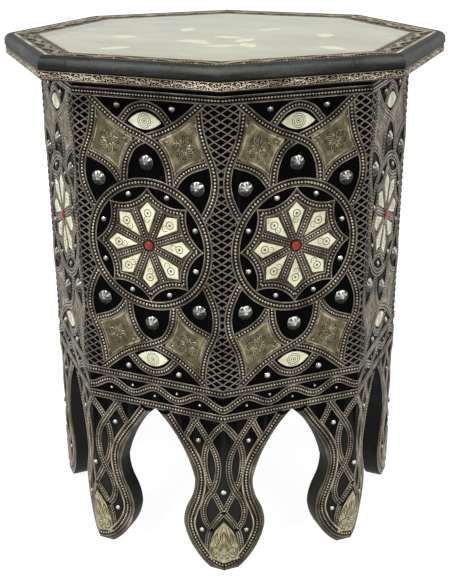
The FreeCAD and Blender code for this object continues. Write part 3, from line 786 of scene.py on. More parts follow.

# %% [markdown]
# ## Plates inside the pattern
#
# The star has a dull brass ground under its kites. Four plates between the straps of each side
# are softly pillowed inside a border that follows the straps, and carry a flower in low relief.
# A plate's height and polish follow from the distance to the nearest strap: from the strap on it
# rises as a quarter of a sine wave, and its polish has one crest near the top of that rise, partly
# wear on the raised edge and partly a painted highlight. Engraving is drawn as thin dark lines
# with a slightly raised middle, which hold their shape from close by and cost few faces.

# %% Engraved lines and petals
LINE, FLOWER_LINE, LINE_RIDGE, LINE_SHINE, CUT_STEP = 0.65, 0.72, 0.04, 0.2, 0.8
FLOWER_CENTRE, PETAL_BULGE = (39.0, 459.0), 0.9


def engrave(skin, path, width, out, place=upright, closed=False):
    """A thin dark line on a surface at a height."""
    half = width / 2
    section = [(-half, out, 0), (0, out + LINE_RIDGE, LINE_SHINE), (half, out, 0)]
    carry(skin, path, section, place, closed)


def petal(degrees, start, end, half, centre=FLOWER_CENTRE, count=9):
    """A pointed petal, anticlockwise: at t along its axis each side is half * sin(pi t^0.9) away."""
    t = np.linspace(0, 1, count)
    off = half * np.sin(math.pi * t**PETAL_BULGE)
    along = start + (end - start) * np.concatenate([t, t[-2:0:-1]])
    off = np.concatenate([-off, off[-2:0:-1]])
    c, s = math.cos(math.radians(degrees)), math.sin(math.radians(degrees))
    return np.column_stack([centre[0] + along * c - off * s, centre[1] + along * s + off * c])


def from_place(place, reach, degrees):
    """The point at a distance and an angle from a place."""
    a = math.radians(degrees)
    return place[0] + reach * math.cos(a), place[1] + reach * math.sin(a)


print("a petal has", len(petal(0, 0, 1, 1)), "points")

# %% Draw the flower of a plate
# Each of these: directions, start, end, half width
PETALS = ((65, 162, 253, 338), 1.8, 11.6, 2.6)
INNER_PETALS = ((65, 162, 253, 338), 4.0, 9.4, 1.1)
BUDS = ((20, 113, 207, 295), 3.2, 8.6, 1.6)
SPRAYS = (((52.5, 483.0), 5.5), ((29.0, 431.5), 5.0), ((60.5, 450.5), 5.0), ((19.5, 463.5), 5.0))
SPRAY_PETAL, SPRAY_CURL, SPRAY_SPREAD, SPRAY_ANGLE, SPRAY_SWEEP = 1.25, 1.4, 3.0, 75, 300
CURL_PLACES, CURL_REACH = (42, 88, 138, 184, 230, 274, 316, 1), 9.8
CURL_START, CURL_END = 150, -120

leaves = [petal(degrees, *row) for directions, *row in (PETALS, BUDS) for degrees in directions]
inner_lines = [petal(degrees, *INNER_PETALS[1:]) for degrees in INNER_PETALS[0]]
tendrils = []
for degrees in CURL_PLACES:
    curl = from_place(FLOWER_CENTRE, CURL_REACH, degrees)
    tendrils.append(arc(curl, SPRAY_CURL, degrees + CURL_START, degrees + CURL_END, CUT_STEP))
for place, length in SPRAYS:
    inwards = math.degrees(math.atan2(FLOWER_CENTRE[1] - place[1], FLOWER_CENTRE[0] - place[0]))
    leaves.append(petal(inwards, 0, length, SPRAY_PETAL, place))
    for side in (-1, 1):
        curl = from_place(place, SPRAY_SPREAD, inwards + side * SPRAY_ANGLE)
        end = inwards + 180 - side * SPRAY_SWEEP
        tendrils.append(arc(curl, SPRAY_CURL, inwards + 180, end, CUT_STEP))
print("a plate has", len(leaves), "petals and", len(tendrils), "tendrils")

# %% Star ground and embossed plates
STAR_GROUND_OUT, STAR_GROUND_SHINE, GROUND_POINTS = 0.2, 0.3, 96
PLATE_CORNERS = [(12.5, 468.0), (27.0, 423.0), (66.0, 447.5), (54.0, 491.0)]
PLATE_LOW, PLATE_HIGH, PLATE_BORDER, PLATE_POINTS = 0.3, 0.85, 2.1, 43
# The crest of polish along the plate's border: part wear, part painted highlight
PLATE_SHINE, RUB_HIGHLIGHT, RUB_HIGHLIGHT_MOTTLE, RUB_HIGHLIGHT_DEPTH, RUB_HIGHLIGHT_WIDTH = 0.5, 0.26, 0.3, 0.85, 0.4
MOTTLE_LENGTHS, GROOVE_DEPTH, GROOVE_LOSS = (3.1, 4.3), 0.3, 0.35
PETAL_LEVELS = [(0, 0.7, 0.1), (0.15, 1.1, 0.8), (0.7, 1.2, 0.62)]
ON_PLATE, ON_PETAL = PLATE_HIGH + 0.03, PETAL_LEVELS[-1][1] + 0.03


def in_quarter(path, across, up):
    """A path of the upper right quarter of the face in another quarter, turning the same way."""
    moved = path * [across, up] + [0, CENTRE_Z - up * CENTRE_Z]
    return moved[:: across * up]


ground_skin, plate_skin, petal_skin, flower_skin = (Skin() for _ in range(4))
spin = np.linspace(0, 2 * math.pi, GROUND_POINTS, endpoint=False)
off_ray = (spin + TURN) % TURN - TURN / 2
across_arc = STAR_ARC_CENTRE * np.sin(off_ray)
edge = STAR_ARC_CENTRE * np.cos(off_ray) - np.sqrt(STAR_ARC_RADIUS**2 - across_arc**2)
points = np.column_stack([edge * np.cos(spin), CENTRE_Z + edge * np.sin(spin)])
points = np.vstack([points, [(0, CENTRE_Z)]])
faces = fan(GROUND_POINTS, 0, GROUND_POINTS)
ground_skin.add(upright(points[:, 0], points[:, 1], STAR_GROUND_OUT), STAR_GROUND_SHINE, faces)

strap_edges = [(evenly(path, FINE_STEP), half) for path, half, *_ in straps]
v, u = np.meshgrid(*[np.linspace(0, 1, PLATE_POINTS)] * 2, indexing="ij")
a, b, c, d = np.array(PLATE_CORNERS)
u, v = u[..., None], v[..., None]
plate = (a * (1 - u) + b * u) * (1 - v) + (d * (1 - u) + c * u) * v
depth = np.clip(gap_to(plate, strap_edges) / PLATE_BORDER, 0, 2)
height = PLATE_LOW + (PLATE_HIGH - PLATE_LOW) * np.sin(math.pi / 2 * np.minimum(depth, 1))
mottle = np.sin(plate[..., 0] / MOTTLE_LENGTHS[0] + 1) + np.sin(plate[..., 1] / MOTTLE_LENGTHS[1])
crest = np.exp(-(((depth - RUB_HIGHLIGHT_DEPTH) / RUB_HIGHLIGHT_WIDTH) ** 2))
# Polish of the plate: the crest near the top of the rise is part wear, part painted highlight; the groove
# by the strap is tarnish
rub_and_highlight = PLATE_SHINE + (RUB_HIGHLIGHT + RUB_HIGHLIGHT_MOTTLE * (mottle / 2)) * crest - GROOVE_LOSS * (depth < GROOVE_DEPTH)
# Each row: paths, height, and whether they close
drawn = ((leaves, ON_PLATE, True), (inner_lines, ON_PETAL, True), (tendrils, ON_PLATE, False))
for across in (1, -1):
    for up in (1, -1):
        z = CENTRE_Z + up * (plate[..., 1] - CENTRE_Z)
        faces = grid(PLATE_POINTS, PLATE_POINTS)[:, :: across * up]
        plate_skin.add(upright(across * plate[..., 0], z, height), rub_and_highlight, faces)
        for path in leaves:
            tablet(petal_skin, in_quarter(path, across, up), PETAL_LEVELS)
        for paths, out, closed in drawn:
            for path in paths:
                engrave(flower_skin, in_quarter(path, across, up), FLOWER_LINE, out, closed=closed)
round_the_table("star_grounds", ground_skin, EMBOSSED_METAL)
on_every_side("embossed_plates", plate_skin, EMBOSSED_METAL)
round_the_table("plate_petals", petal_skin, EMBOSSED_METAL)
round_the_table("plate_lines", flower_skin, PRESSED_DARK)

# %% [markdown]
# ## Bone
#
# The kites round the medallions and the eyes over and under them are thin bone. They are the CAD
# pieces' shapes with a small bevel, engraved with rings as the maker would cut them with a
# turning point. A bevel modifier could round them, but drawing the outline in, level by level,
# gives the same bevel with a handful of faces, and there are eighty of these pieces.

# %% Bone kites and eyes with their engraving
KITE_TIP, KITE_SHOULDER, KITE_HEEL, KITE_HALF = 43.5, 35.0, 12.7, 8.0
BONE_LEVELS = [(0, 0.1, 0), (0, 1.25, 0), (0.5, 1.65, 0)]
BONE_OUT = 1.66
# Of each ring: (place along the kite, radius, width of the line)
KITE_RINGS = ((32.7, 3.7, 0.8), (32.7, 0.75, 1.0))
HOOK_PLACE, HOOK_RADIUS, HOOK_START, HOOK_END = (26.3, 1.1), 2.8, 15, 285
DOT, EYE_DOT, DOT_HEIGHT, RING_PARTS = 0.55, 1.0, 0.05, 5
EYE_Z, EYE_HALF, EYE_BROW, EYE_CHEEK = 480.0, 17.0, 9.0, 7.0
EYE_RINGS = (6.6, 4.7, 2.4)


def bowed(a, b, bow, count=14):
    """A side from a to b that bows outwards, to its right, along a parabola."""
    a, b = np.array(a, float), np.array(b, float)
    t = np.linspace(0, 1, count, endpoint=False)[:, None]
    run = (b - a) / np.linalg.norm(b - a)
    return a + (b - a) * t + np.array([run[1], -run[0]]) * bow * 4 * t * (1 - t)


def on_ray(points, ray):
    """Points of a kite that lies along +X, turned to its ray about the medallion."""
    c, s = math.cos(ray * TURN), math.sin(ray * TURN)
    return np.array(points, float) @ np.array([[c, s], [-s, c]]) + [0, CENTRE_Z]


kite_skin, eye_skin, cut_skin = Skin(), Skin(), Skin()
kite = [(KITE_HEEL, 0), (KITE_SHOULDER, -KITE_HALF), (KITE_TIP, 0), (KITE_SHOULDER, KITE_HALF)]
for ray in range(SIDES):
    tablet(kite_skin, on_ray(kite, ray), BONE_LEVELS)
    for along, radius, width in KITE_RINGS:
        ring = arc((along, 0), radius, 0, 360, radius / RING_PARTS)[:-1]
        engrave(cut_skin, on_ray(ring, ray), width, BONE_OUT, closed=True)
    hook = arc(HOOK_PLACE, HOOK_RADIUS, HOOK_START, HOOK_END, CUT_STEP)
    engrave(cut_skin, on_ray(hook, ray), LINE, BONE_OUT)
    domes(cut_skin, on_ray([HOOK_PLACE], ray), DOT, DOT_HEIGHT, BONE_OUT)
eye = np.vstack([
    bowed((-EYE_HALF, EYE_Z), (EYE_HALF, EYE_Z), EYE_CHEEK),
    bowed((EYE_HALF, EYE_Z), (-EYE_HALF, EYE_Z), EYE_BROW),
])
for up in (1, -1):
    outline = eye if up > 0 else flipped(eye)[::-1]
    tablet(eye_skin, outline, BONE_LEVELS)
    centre = (0, CENTRE_Z + up * (EYE_Z - CENTRE_Z + (EYE_BROW - EYE_CHEEK) / 2))
    for radius in EYE_RINGS:
        engrave(cut_skin, arc(centre, radius, 0, 360, CUT_STEP)[:-1], LINE, BONE_OUT, closed=True)
    domes(cut_skin, [centre], EYE_DOT, DOT_HEIGHT, BONE_OUT)
round_the_table("bone_kites", kite_skin, BONE, "bone_petals", smooth=False)
round_the_table("bone_eyes_cut", eye_skin, BONE, "bone_eyes", smooth=False)
round_the_table("bone_engraving", cut_skin, INK)

# %% [markdown]
# ## Stones and studs
#
# The red stone is a low dome in a collar. The large studs are domes with two sets of twisted
# valleys pressed in, and a small cap. The others are plain domes. The large studs and the plain
# domes carry painted light on the upper side of their slope and painted shade on the lower side.
# Those on the table's corners are cut on the mitre, half to each side. A dome is rings of points,
# so that ribs are only a change in the rings' heights, and one function makes beads, studs and
# stones.

# %% Stones, embossed studs and plain studs
STONE_RADIUS, STONE_HEIGHT, STONE_BASE, COLLAR_RADIUS = 4.5, 2.6, 1.4, 4.7
COLLAR = [(-0.5, 0.9, 0.1), (-0.4, 1.5, 0.4), (0, 1.7, 0.5), (0.4, 1.5, 0.4), (0.5, 0.9, 0.1)]
ROSETTE_RADIUS, ROSETTE_HEIGHT, ROSETTE_BASE = 7.8, 4.1, 0.1
# The last of these paints light on the upper side of the rosettes and shade on their lower side
ROSETTE_LOBES, ROSETTE_RIM, ROSETTE_PAINTED_TOP_LIGHT = ((9, 0.16, 1.6), (5, 0.1, -3.4)), 0.68, 0.42
CAP_RADIUS, CAP_HEIGHT, CAP_SUNK = 1.9, 0.7, 0.5
# Painted light on the upper side of the plain studs and painted shade on their lower side
STUD_PAINTED_TOP_LIGHT = 0.36
# Radius and height of the plain studs
DOME_STUD, SMALL_STUD, WAVE_STUD, CORNER_STUD = (3.8, 3.2), (3.3, 2.3), (1.6, 1.2), (3.4, 2.3)
SMALL_ROUND = {"around": 20, "rings": 7, "lean": STUD_PAINTED_TOP_LIGHT}
LENS_STUD_REACH = 53.3
WING_STUD, PETAL_STUD, DOME_PLACE = (52.3, 421.5), (0, 441.5), (28.5, 493.9)
LEG_STUDS = [(27.4, 154), (25, 45.5)]
WAVE_STUD_OUT, TROUGH_RISE, CREST_DROP, CORNER_STUD_Z = 0.2, 3, 4.5, 98.0

stone_skin, collar_skin, rosette_skin, dome_skin, small_skin = (Skin() for _ in range(5))
domes(stone_skin, [(0, CENTRE_Z)], STONE_RADIUS, STONE_HEIGHT, STONE_BASE, around=24, rings=6)
carry(collar_skin, arc((0, CENTRE_Z), COLLAR_RADIUS, 0, 360, 1)[:-1], COLLAR, closed=True)


def quarters(place):
    """A place in all four quarters about the medallion."""
    rise = place[1] - CENTRE_Z
    return [(across * place[0], CENTRE_Z + up * rise) for across in (1, -1) for up in (1, -1)]


rosettes = quarters(WING_STUD) + quarters(PETAL_STUD)[:2]
domes(
    rosette_skin, rosettes, ROSETTE_RADIUS, ROSETTE_HEIGHT, ROSETTE_BASE, around=64, rings=10,
    rim=ROSETTE_RIM, lobes=ROSETTE_LOBES, lean=ROSETTE_PAINTED_TOP_LIGHT,
)
domes(rosette_skin, rosettes, CAP_RADIUS, CAP_HEIGHT, ROSETTE_HEIGHT - CAP_SUNK, around=12, rings=3)
domes(dome_skin, quarters(DOME_PLACE), *DOME_STUD, around=24, rings=8, lean=STUD_PAINTED_TOP_LIGHT)
lens_studs = [on_ray([(LENS_STUD_REACH, 0)], ray + 0.5)[0] for ray in range(SIDES)]
leg_studs = [(across * x, z) for x, z in from_corner(LEG_STUDS) for across in (1, -1)]
domes(small_skin, lens_studs + leg_studs, *SMALL_STUD, **SMALL_ROUND)
troughs = [((i + 0.5) * WAVE_LENGTH, WAVE_Z + TROUGH_RISE) for i in (-1, 0)]
crests = [(i * WAVE_LENGTH, WAVE_Z - CREST_DROP) for i in (-1, 0, 1)]
domes(small_skin, troughs + crests, *WAVE_STUD, WAVE_STUD_OUT, around=12, rings=4)
corner_studs = [(CORNER, CORNER_STUD_Z), (-CORNER, CORNER_STUD_Z)]
domes(small_skin, corner_studs, *CORNER_STUD, mitred=True, **SMALL_ROUND)
round_the_table("red_cabochons", stone_skin, STONE, "red_stones")
round_the_table("stone_collars", collar_skin, STRAP_METAL)
round_the_table("plain_domes", dome_skin, STUD_METAL, "dome_studs")
round_the_table("small_studs", small_skin, STUD_METAL)
rosette_piece = make_piece("embossed_rosettes", rosette_skin, STUD_METAL, range(SIDES))
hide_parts("wing_rosettes", "petal_rosettes")

# %% [markdown]
# ## Feet
#
# Round the edge of each arch runs a rim of sheet metal between the last strap and the wood's
# edge, with a bright brass wire inside it on the leg. The rim is drawn between the two lines,
# point by point. A palmette of pale brass wraps the corner of each foot, with its leaf lines cut
# in. Its relief is a cosine of the level, which is the share of the height plus the share of the
# width to the power 1.4, so the ridges sweep up and outwards like leaves.

# %% Rim round the arch
ARCH_POINT, ARCH_SHOULDER = (0.0, 181.0), (43.5, 107.0)
ARCH_WAIST, ARCH_FOOT = (29.5, 49.0), (59.5, 0.0)
HEAD_SWELL, NECK_SWELL, FOOT_SWELL = 6.7, 1.9, 6.0
RIM_INSET, RIM_START, RIM_POINTS = 0.35, 3.9, 160
# From the strap to the wood's edge: (share of the way, out, polish)
RIM_ROWS = [(0.0, 0.85, 0.64), (0.12, 0.62, 0.42), (0.5, 0.7, 0.68), (0.85, 0.8, 0.76), (1.0, 0.3, 0.38)]
arch_neck = tuple((a + b) / 2 for a, b in zip(ARCH_SHOULDER, ARCH_WAIST))
wood_edge = np.vstack([
    bowed(ARCH_SHOULDER, ARCH_POINT, HEAD_SWELL)[::-1],
    bowed(arch_neck, ARCH_SHOULDER, NECK_SWELL)[::-1],
    bowed(ARCH_WAIST, arch_neck, -NECK_SWELL)[::-1],
    bowed(ARCH_FOOT, ARCH_WAIST, -FOOT_SWELL)[::-1],
    [(CORNER, 0.0)],
])
wood_edge = evenly(wood_edge, FINE_STEP)
wood_edge = wood_edge - sides_of(wood_edge) * RIM_INSET
strap_line = smooth_path(ARCH_EDGE, FINE_STEP)
rim_line = evenly(strap_line + sides_of(strap_line) * RIM_START, FINE_STEP)


def resampled(path, count):
    """The path with a fixed count of points, as [point, 1, (x, z)]."""
    length = np.linalg.norm(np.diff(path, axis=0), axis=1).sum()
    return evenly(path, length / (count - 1))[:, None, :]


rim_skin = Skin()
share, rim_out, rim_shine = np.array(RIM_ROWS).T
share = share[None, :, None]
flat = resampled(rim_line, RIM_POINTS) * (1 - share) + resampled(wood_edge, RIM_POINTS) * share
out, polish = np.tile(rim_out, (RIM_POINTS, 1)), np.tile(rim_shine, (RIM_POINTS, 1))
for across in (1, -1):
    faces = grid(RIM_POINTS, len(RIM_ROWS))[:, ::across]
    rim_skin.add(upright(across * flat[..., 0], flat[..., 1], out), polish, faces)
on_every_side("arch_rims", rim_skin, STRAP_METAL)

# %% Brass wires on the legs
WIRE_ROWS = [(-0.9, 0.2, 0.3), (-0.6, 1.35, 0.75), (0, 1.6, 0.95), (0.6, 1.35, 0.75), (0.9, 0.2, 0.3)]
WIRE_INSET, WIRE_TOP, WIRE_FULL, WIRE_LEAST = 4.3, 158.0, 118.0, 0.3
WEAR_LENGTH, WEAR_RATIO, WEAR_LOSS, WEAR_GAIN = 7.0, 2.3, 0.16, 0.22
wire_skin = Skin()
wire_line = strap_line - sides_of(strap_line) * WIRE_INSET
wire_line = wire_line[wire_line[:, 1] < WIRE_TOP]


def rise_out(flat, out, polish):
    """The wire rises out of the strap's edge between two heights, and is worn bright in places.

    The wear at the height z is (sin(z / 7) + sin(2.3 z / 7 + 1)) / 2.
    """
    z = flat[..., 1]
    worn = (np.sin(z / WEAR_LENGTH) + np.sin(z / WEAR_LENGTH * WEAR_RATIO + 1)) / 2
    risen = np.clip((WIRE_TOP - z) / (WIRE_TOP - WIRE_FULL), WIRE_LEAST, 1)
    return out * risen, polish - WEAR_LOSS + WEAR_GAIN * worn


for path in two(wire_line):
    carry(wire_skin, path, WIRE_ROWS, press=rise_out)
on_every_side("leg_brass_wires", wire_skin, PALE_BRASS)

# %% Palmettes round the feet
PALMETTE_LOW, PALMETTE_HIGH = 12.0, 62.0
PALMETTE_OUTLINE = [(0.0, 62.0), (4.2, 56.5), (9.3, 48.5), (13.5, 39.0), (15.8, 28.0), (16.6, 12.0)]
PALMETTE_OUT, PALMETTE_SIZE, PAST_CORNER = 1.3, (46, 17), 3
LEAF_RELIEF, LEAF_ROWS, LEAF_SWEEP = 0.14, 3.5, 1.4
EDGE_RISE, EDGE_PARTS, LEAF_SHINE, RIDGE_SHINE = 0.35, 3, 0.66, 0.12
LEAF_LINE_OUT = 0.38
LEAF_LINES = [
    [(0, 57), (2.2, 51.5), (3.6, 45), (2.8, 38.5), (0, 33)],
    [(0, 50), (1.3, 45), (1.2, 40), (0, 37)],
    [(0, 30), (3.4, 34), (6.2, 40), (7.6, 46.5), (9.8, 40.5), (9.2, 34.5), (5.6, 29.5), (0, 26.5)],
    [(3.4, 30.5), (6.6, 35), (8, 40)],
    [(0, 23.5), (4, 25.8), (8, 28.6), (11.6, 27), (12.7, 22.6), (10.4, 19.2), (7.8, 20.4), (8.4, 23)],
    [(0, 20), (3, 21.4), (5, 18.8), (3.8, 16.2), (1.4, 16.6)],
    [(13.6, 33.5), (12.3, 38), (10.8, 42.5)],
    [(14.6, 27), (14.4, 19.5), (11.6, 15.4), (7.5, 15.6)],
]
palmette_skin, leaf_skin = Skin(), Skin()
rows, columns = PALMETTE_SIZE
z = np.linspace(PALMETTE_LOW, PALMETTE_HIGH, rows)[:, None] * np.ones(columns)
widths, heights = np.array(PALMETTE_OUTLINE[::-1]).T
reach = np.interp(z, heights, widths)
along = np.linspace(0, 1, columns)[None, :]
x = CORNER - reach + (reach + PAST_CORNER) * along
inwards = np.maximum(CORNER - x, 0) / PALMETTE_OUTLINE[-1][0]
leaf_level = (z - PALMETTE_LOW) / (PALMETTE_HIGH - PALMETTE_LOW) + inwards**LEAF_SWEEP
ridges = np.cos(2 * math.pi * LEAF_ROWS * leaf_level)
crown = PALMETTE_OUT + LEAF_RELIEF * ridges + EDGE_RISE * np.minimum(along * EDGE_PARTS, 1)
shine = LEAF_SHINE + RIDGE_SHINE * ridges
for across in (1, -1):
    palmette_skin.add(upright(across * x, z, crown), shine, grid(rows, columns)[:, ::across])
for line in LEAF_LINES:
    for path in two(smooth_path(from_corner(line), FINE_STEP)):
        engrave(leaf_skin, path, LINE, PALMETTE_OUT + LEAF_RELIEF + LEAF_LINE_OUT)
round_the_table("foot_palmettes", palmette_skin, PALE_BRASS, "foot_plates")
round_the_table("palmette_lines", leaf_skin, PRESSED_DARK)

# %% [markdown]
# ## Top
#
# A black nosing with rounded edges goes round the top, and each of its sides has a joint, which
# shows as a dark line across it. A side of the top is one closed section, run along the side and
# cut on the mitre at both ends, as a joiner makes it from a length of moulding. The section is
# two arcs, whose polish holds a painted highlight band across the rounded face, with painted
# shade towards its lower and upper edges.

# %% Nosing, with a painted highlight band
TOP_Z = cad_range("top_border_1", 2)[1]
NOSE_LOW = cad_range("edge_moulding_1", 2)[0]
NOSE_FACE = -cad_range("edge_moulding_1", 1)[0]
BORDER_FACE, BORDER_INNER = (-value for value in cad_range("top_border_1", 1))
BORDER_LOW = cad_range("top_border_1", 2)[0]
NOSE_ROUND_LOW, NOSE_ROUND_HIGH = 2.4, 7.6
# Polish along the lower and the upper arc: painted shade at the bottom and top, a painted highlight band
# between
NOSE_PAINTED_HIGHLIGHT_LOW, NOSE_PAINTED_HIGHLIGHT_HIGH = (0.05, 0.3, 0.5), (0.62, 0.76, 0.45, 0.22)
JOINT_PLACES = (-61.0, 37.5, 12.0, -38.0, 66.0, -14.0, 30.0, -70.0)
JOINT_WIDTH, JOINT_OUT, SIDE_STEP = 0.7, 0.02, 6.0


def along_side(skin, section):
    """A closed section of (distance from the axis, height, polish) run along one side."""
    reach, z, polish = np.array(list(section) + [section[0]], float).T
    end = NOSE_FACE * SLOPE
    x = np.arange(-end - SIDE_STEP, end + 1.5 * SIDE_STEP, SIDE_STEP)[:, None]
    points = np.stack(np.broadcast_arrays(x, -reach, z), axis=-1)
    skin.add(points, np.tile(polish, (len(x), 1)), grid(len(x), len(reach))[:, ::-1])


def rounded(centre, radius, start, end, polishes, count=9):
    """An arc of a section; its polish runs through the given values."""
    degrees = np.linspace(start, end, count)
    shine = np.interp(degrees, np.linspace(start, end, len(polishes)), polishes)
    a = np.radians(degrees)
    return list(zip(centre[0] + radius * np.cos(a), centre[1] + radius * np.sin(a), shine))


def nose_line(inset, low_highlight, high_highlight):
    """The rounded face of the nosing from its lower edge to its upper one, drawn in by the inset."""
    low, high = NOSE_ROUND_LOW, NOSE_ROUND_HIGH
    line = rounded((NOSE_FACE - low, NOSE_LOW + low), low - inset, -90, 0, low_highlight)
    return line + rounded((NOSE_FACE - high, TOP_Z - high), high - inset, 0, 90, high_highlight)


nose_skin = Skin()
nose = nose_line(JOINT_OUT, NOSE_PAINTED_HIGHLIGHT_LOW, NOSE_PAINTED_HIGHLIGHT_HIGH)
nose += [(BORDER_FACE, TOP_Z, 0.3), (BORDER_FACE, NOSE_LOW, 0.1)]
along_side(nose_skin, nose)
on_every_side("nosing", nose_skin, MOULDING_BLACK, "edge_moulding")

reach, z, polish = np.array(nose_line(0, (0, 0), (0, 0))).T[:, :, None]
for side, place in enumerate(JOINT_PLACES):
    joint_skin = Skin()
    x = place + np.array([-0.5, 0.5])[None, :] * JOINT_WIDTH
    points = np.stack(np.broadcast_arrays(x, -reach, z), axis=-1)
    joint_skin.add(points, 0.0, grid(len(z), 2)[:, ::-1])
    make_piece(f"nosing_joint_{side + 1}", joint_skin, PRESSED_DARK, (side,))

# %% [markdown]
# ## Scroll band
#
# Under the nosing is a strip of sheet brass with pressed scrolls. The scroll is a running stem, a
# sine wave, with a spiral in each of its bays and small curls about it. The spiral's radius falls
# evenly with its angle. A bump in the finish would be less work, but it would fade at the edge of
# the band and from close by, so the scrolls are real relief.

# %% Band of scrolls under the nosing
BAND_LOW, BAND_HIGH = cad_range("apron_band_1", 2)
BAND_FACE = -cad_range("apron_band_1", 1)[0]
BAND_GROUND = BAND_FACE - 0.75
BAND_SECTION = [
    (BORDER_FACE, BAND_LOW, 0), (BAND_GROUND - 1.5, BAND_LOW, 0.2),
    (BAND_GROUND - 0.3, BAND_LOW + 1.0, 0.3), (BAND_GROUND, BAND_LOW + 1.6, 0.08),
    (BAND_GROUND, BAND_HIGH, 0.08), (BORDER_FACE, BAND_HIGH, 0),
]
BAND_EDGES = (BAND_HIGH - 0.6, BAND_LOW + 1.9)
SCROLL_LENGTH, SCROLL_RISE, SCROLL_LIFT, SCROLL_STEP, STEM_PAST = 11.0, 1.5, 0.35, 1.0, 1
SPIRAL_OUTER, SPIRAL_INNER, SPIRAL_TURNS, SPIRAL_STRETCH = 2.7, 0.5, 1.45, 1.2
SPIRAL_SHIFT, SPIRAL_POINTS, CURL_STEP = 0.75, 24, 0.6
SCROLL_SECTION = [
    (-0.62, 0.0, 0.05), (-0.38, 0.5, 0.6), (0, 0.62, 1.0), (0.38, 0.5, 0.6), (0.62, 0.0, 0.05),
]
EDGE_SECTION = [(-0.55, 0.0, 0.2), (-0.35, 0.6, 0.6), (0.1, 0.7, 0.85), (0.55, 0.0, 0.2)]
# Of each curl: (place from the spiral's centre, radius, first and last angle)
CURLS = [
    ((-4.9, 1.0), 1.1, 60, 330), ((4.7, 1.1), 1.05, -150, 120), ((-2.7, -2.3), 1.0, 150, 380),
    ((2.9, -2.4), 0.8, -40, 200), ((-5.2, -1.4), 0.8, 0, 230),
]

on_band = facing(BAND_GROUND)
band_skin = Skin()
along_side(band_skin, BAND_SECTION)
band_middle = (BAND_LOW + BAND_HIGH) / 2 + SCROLL_LIFT
half_length = BAND_FACE * SLOPE
count = 2 * round(half_length / SCROLL_LENGTH)
bay = 2 * half_length / count
stem_x = np.arange(-half_length - STEM_PAST, half_length + STEM_PAST + NUDGE, SCROLL_STEP)
stem_z = band_middle + SCROLL_RISE * np.sin(math.pi * (stem_x + half_length) / bay)
carry(band_skin, np.column_stack([stem_x, stem_z]), SCROLL_SECTION, on_band)
t = np.linspace(0, 1, SPIRAL_POINTS)
radius = SPIRAL_OUTER + (SPIRAL_INNER - SPIRAL_OUTER) * t
for i in range(count):
    sign = 1 if i % 2 else -1
    centre = np.array([-half_length + (i + 0.5) * bay, band_middle + sign * SPIRAL_SHIFT])
    angle = math.pi * (i % 2) + sign * SPIRAL_TURNS * 2 * math.pi * t
    spiral = np.column_stack([SPIRAL_STRETCH * radius * np.cos(angle), radius * np.sin(angle)])
    carry(band_skin, centre + spiral, SCROLL_SECTION, on_band)
    for place, curl, start, end in CURLS:
        path = centre + arc(place, curl, start, end, CURL_STEP) * [1, sign]
        carry(band_skin, path, SCROLL_SECTION, on_band)
for z in BAND_EDGES:
    carry(band_skin, np.column_stack([stem_x, np.full_like(stem_x, z)]), EDGE_SECTION, on_band)
on_every_side("scroll_band", band_skin, SCROLL_METAL, "apron_band")

# %% [markdown]
# ## Border
#
# The frame round the glass is wood under thin sheet. It has a row of beads, two wires, and a
# beaded strap that follows a cosine, with a stud and four thin dark leaves in each bay. At its
# inner side the sheet turns up to a lip and slopes down to the glass. The strap and its beads are
# the same section and the same domes as on the faces, laid on a level plane.

# %% Metal border round the glass
BORDER_GROUND = TOP_Z - 1.6
# The inner wall from the lip down to the glass has almost no polish: painted shade in the gap
BORDER_SECTION = [
    (BORDER_FACE, BORDER_LOW, 0), (BORDER_FACE, TOP_Z - 0.6, 0.4),
    (BORDER_FACE - 0.6, BORDER_GROUND, 0.3), (BORDER_FACE - 7.5, BORDER_GROUND, 0.38),
    (BORDER_INNER + 4, BORDER_GROUND, 0.38), (BORDER_INNER + 2.8, BORDER_GROUND, 0.2),
    (BORDER_INNER + 2.5, BORDER_GROUND + 0.7, 0.7), (BORDER_INNER + 1.7, BORDER_GROUND + 0.7, 0.75),
    (BORDER_INNER, TOP_Z - 2.0, 0.05), (BORDER_INNER, BORDER_LOW, 0),
]
BORDER_FLATTENING = 0.95
BORDER_WAVE_BAYS, BORDER_WAVE_STEP, BORDER_WAVE_PAST = 4, 1.5, 4
BORDER_WAVE = (BORDER_FACE + BORDER_INNER) / 2 - 1.6
BORDER_WAVE_RISE, BORDER_WAVE_HALF, BAY_INSET = 3.0, 2.5, 1
BORDER_WIRES = (BORDER_FACE - 1.1, BORDER_FACE - 6.3)
BORDER_BEADS = BORDER_FACE - 3.7
# Radius, height and base of the domes
ROW_BEAD, WAVE_BEAD, BAY_STUD = (1.7, 1.6, 0.0), (1.15, 1.0, 0.5), (1.3, 1.1, 0.0)
ROW_SPACING, WAVE_SPACING, MITRE_ROOM = 3.3, 3.0, 0.5
BAY_LEAF_TILTS, BAY_LEAF_START, BAY_LEAF_END, BAY_LEAF_HALF = (-16, 16), 1.8, 7.5, 0.9
BAY_LEAF_LEVELS = [(0, 0.02, 0), (0.05, 0.08, 0)]
THIN_WIRE = [(-0.6, 0.0, 0.3), (-0.4, 0.5, 0.8), (0, 0.7, 1.0), (0.4, 0.5, 0.8), (0.6, 0.0, 0.3)]


def border_line(reach):
    """A straight path along the border, right to left so that its right side is outwards."""
    half = reach * SLOPE + STEP
    return evenly(np.array([(-half, -reach), (half, -reach)]))


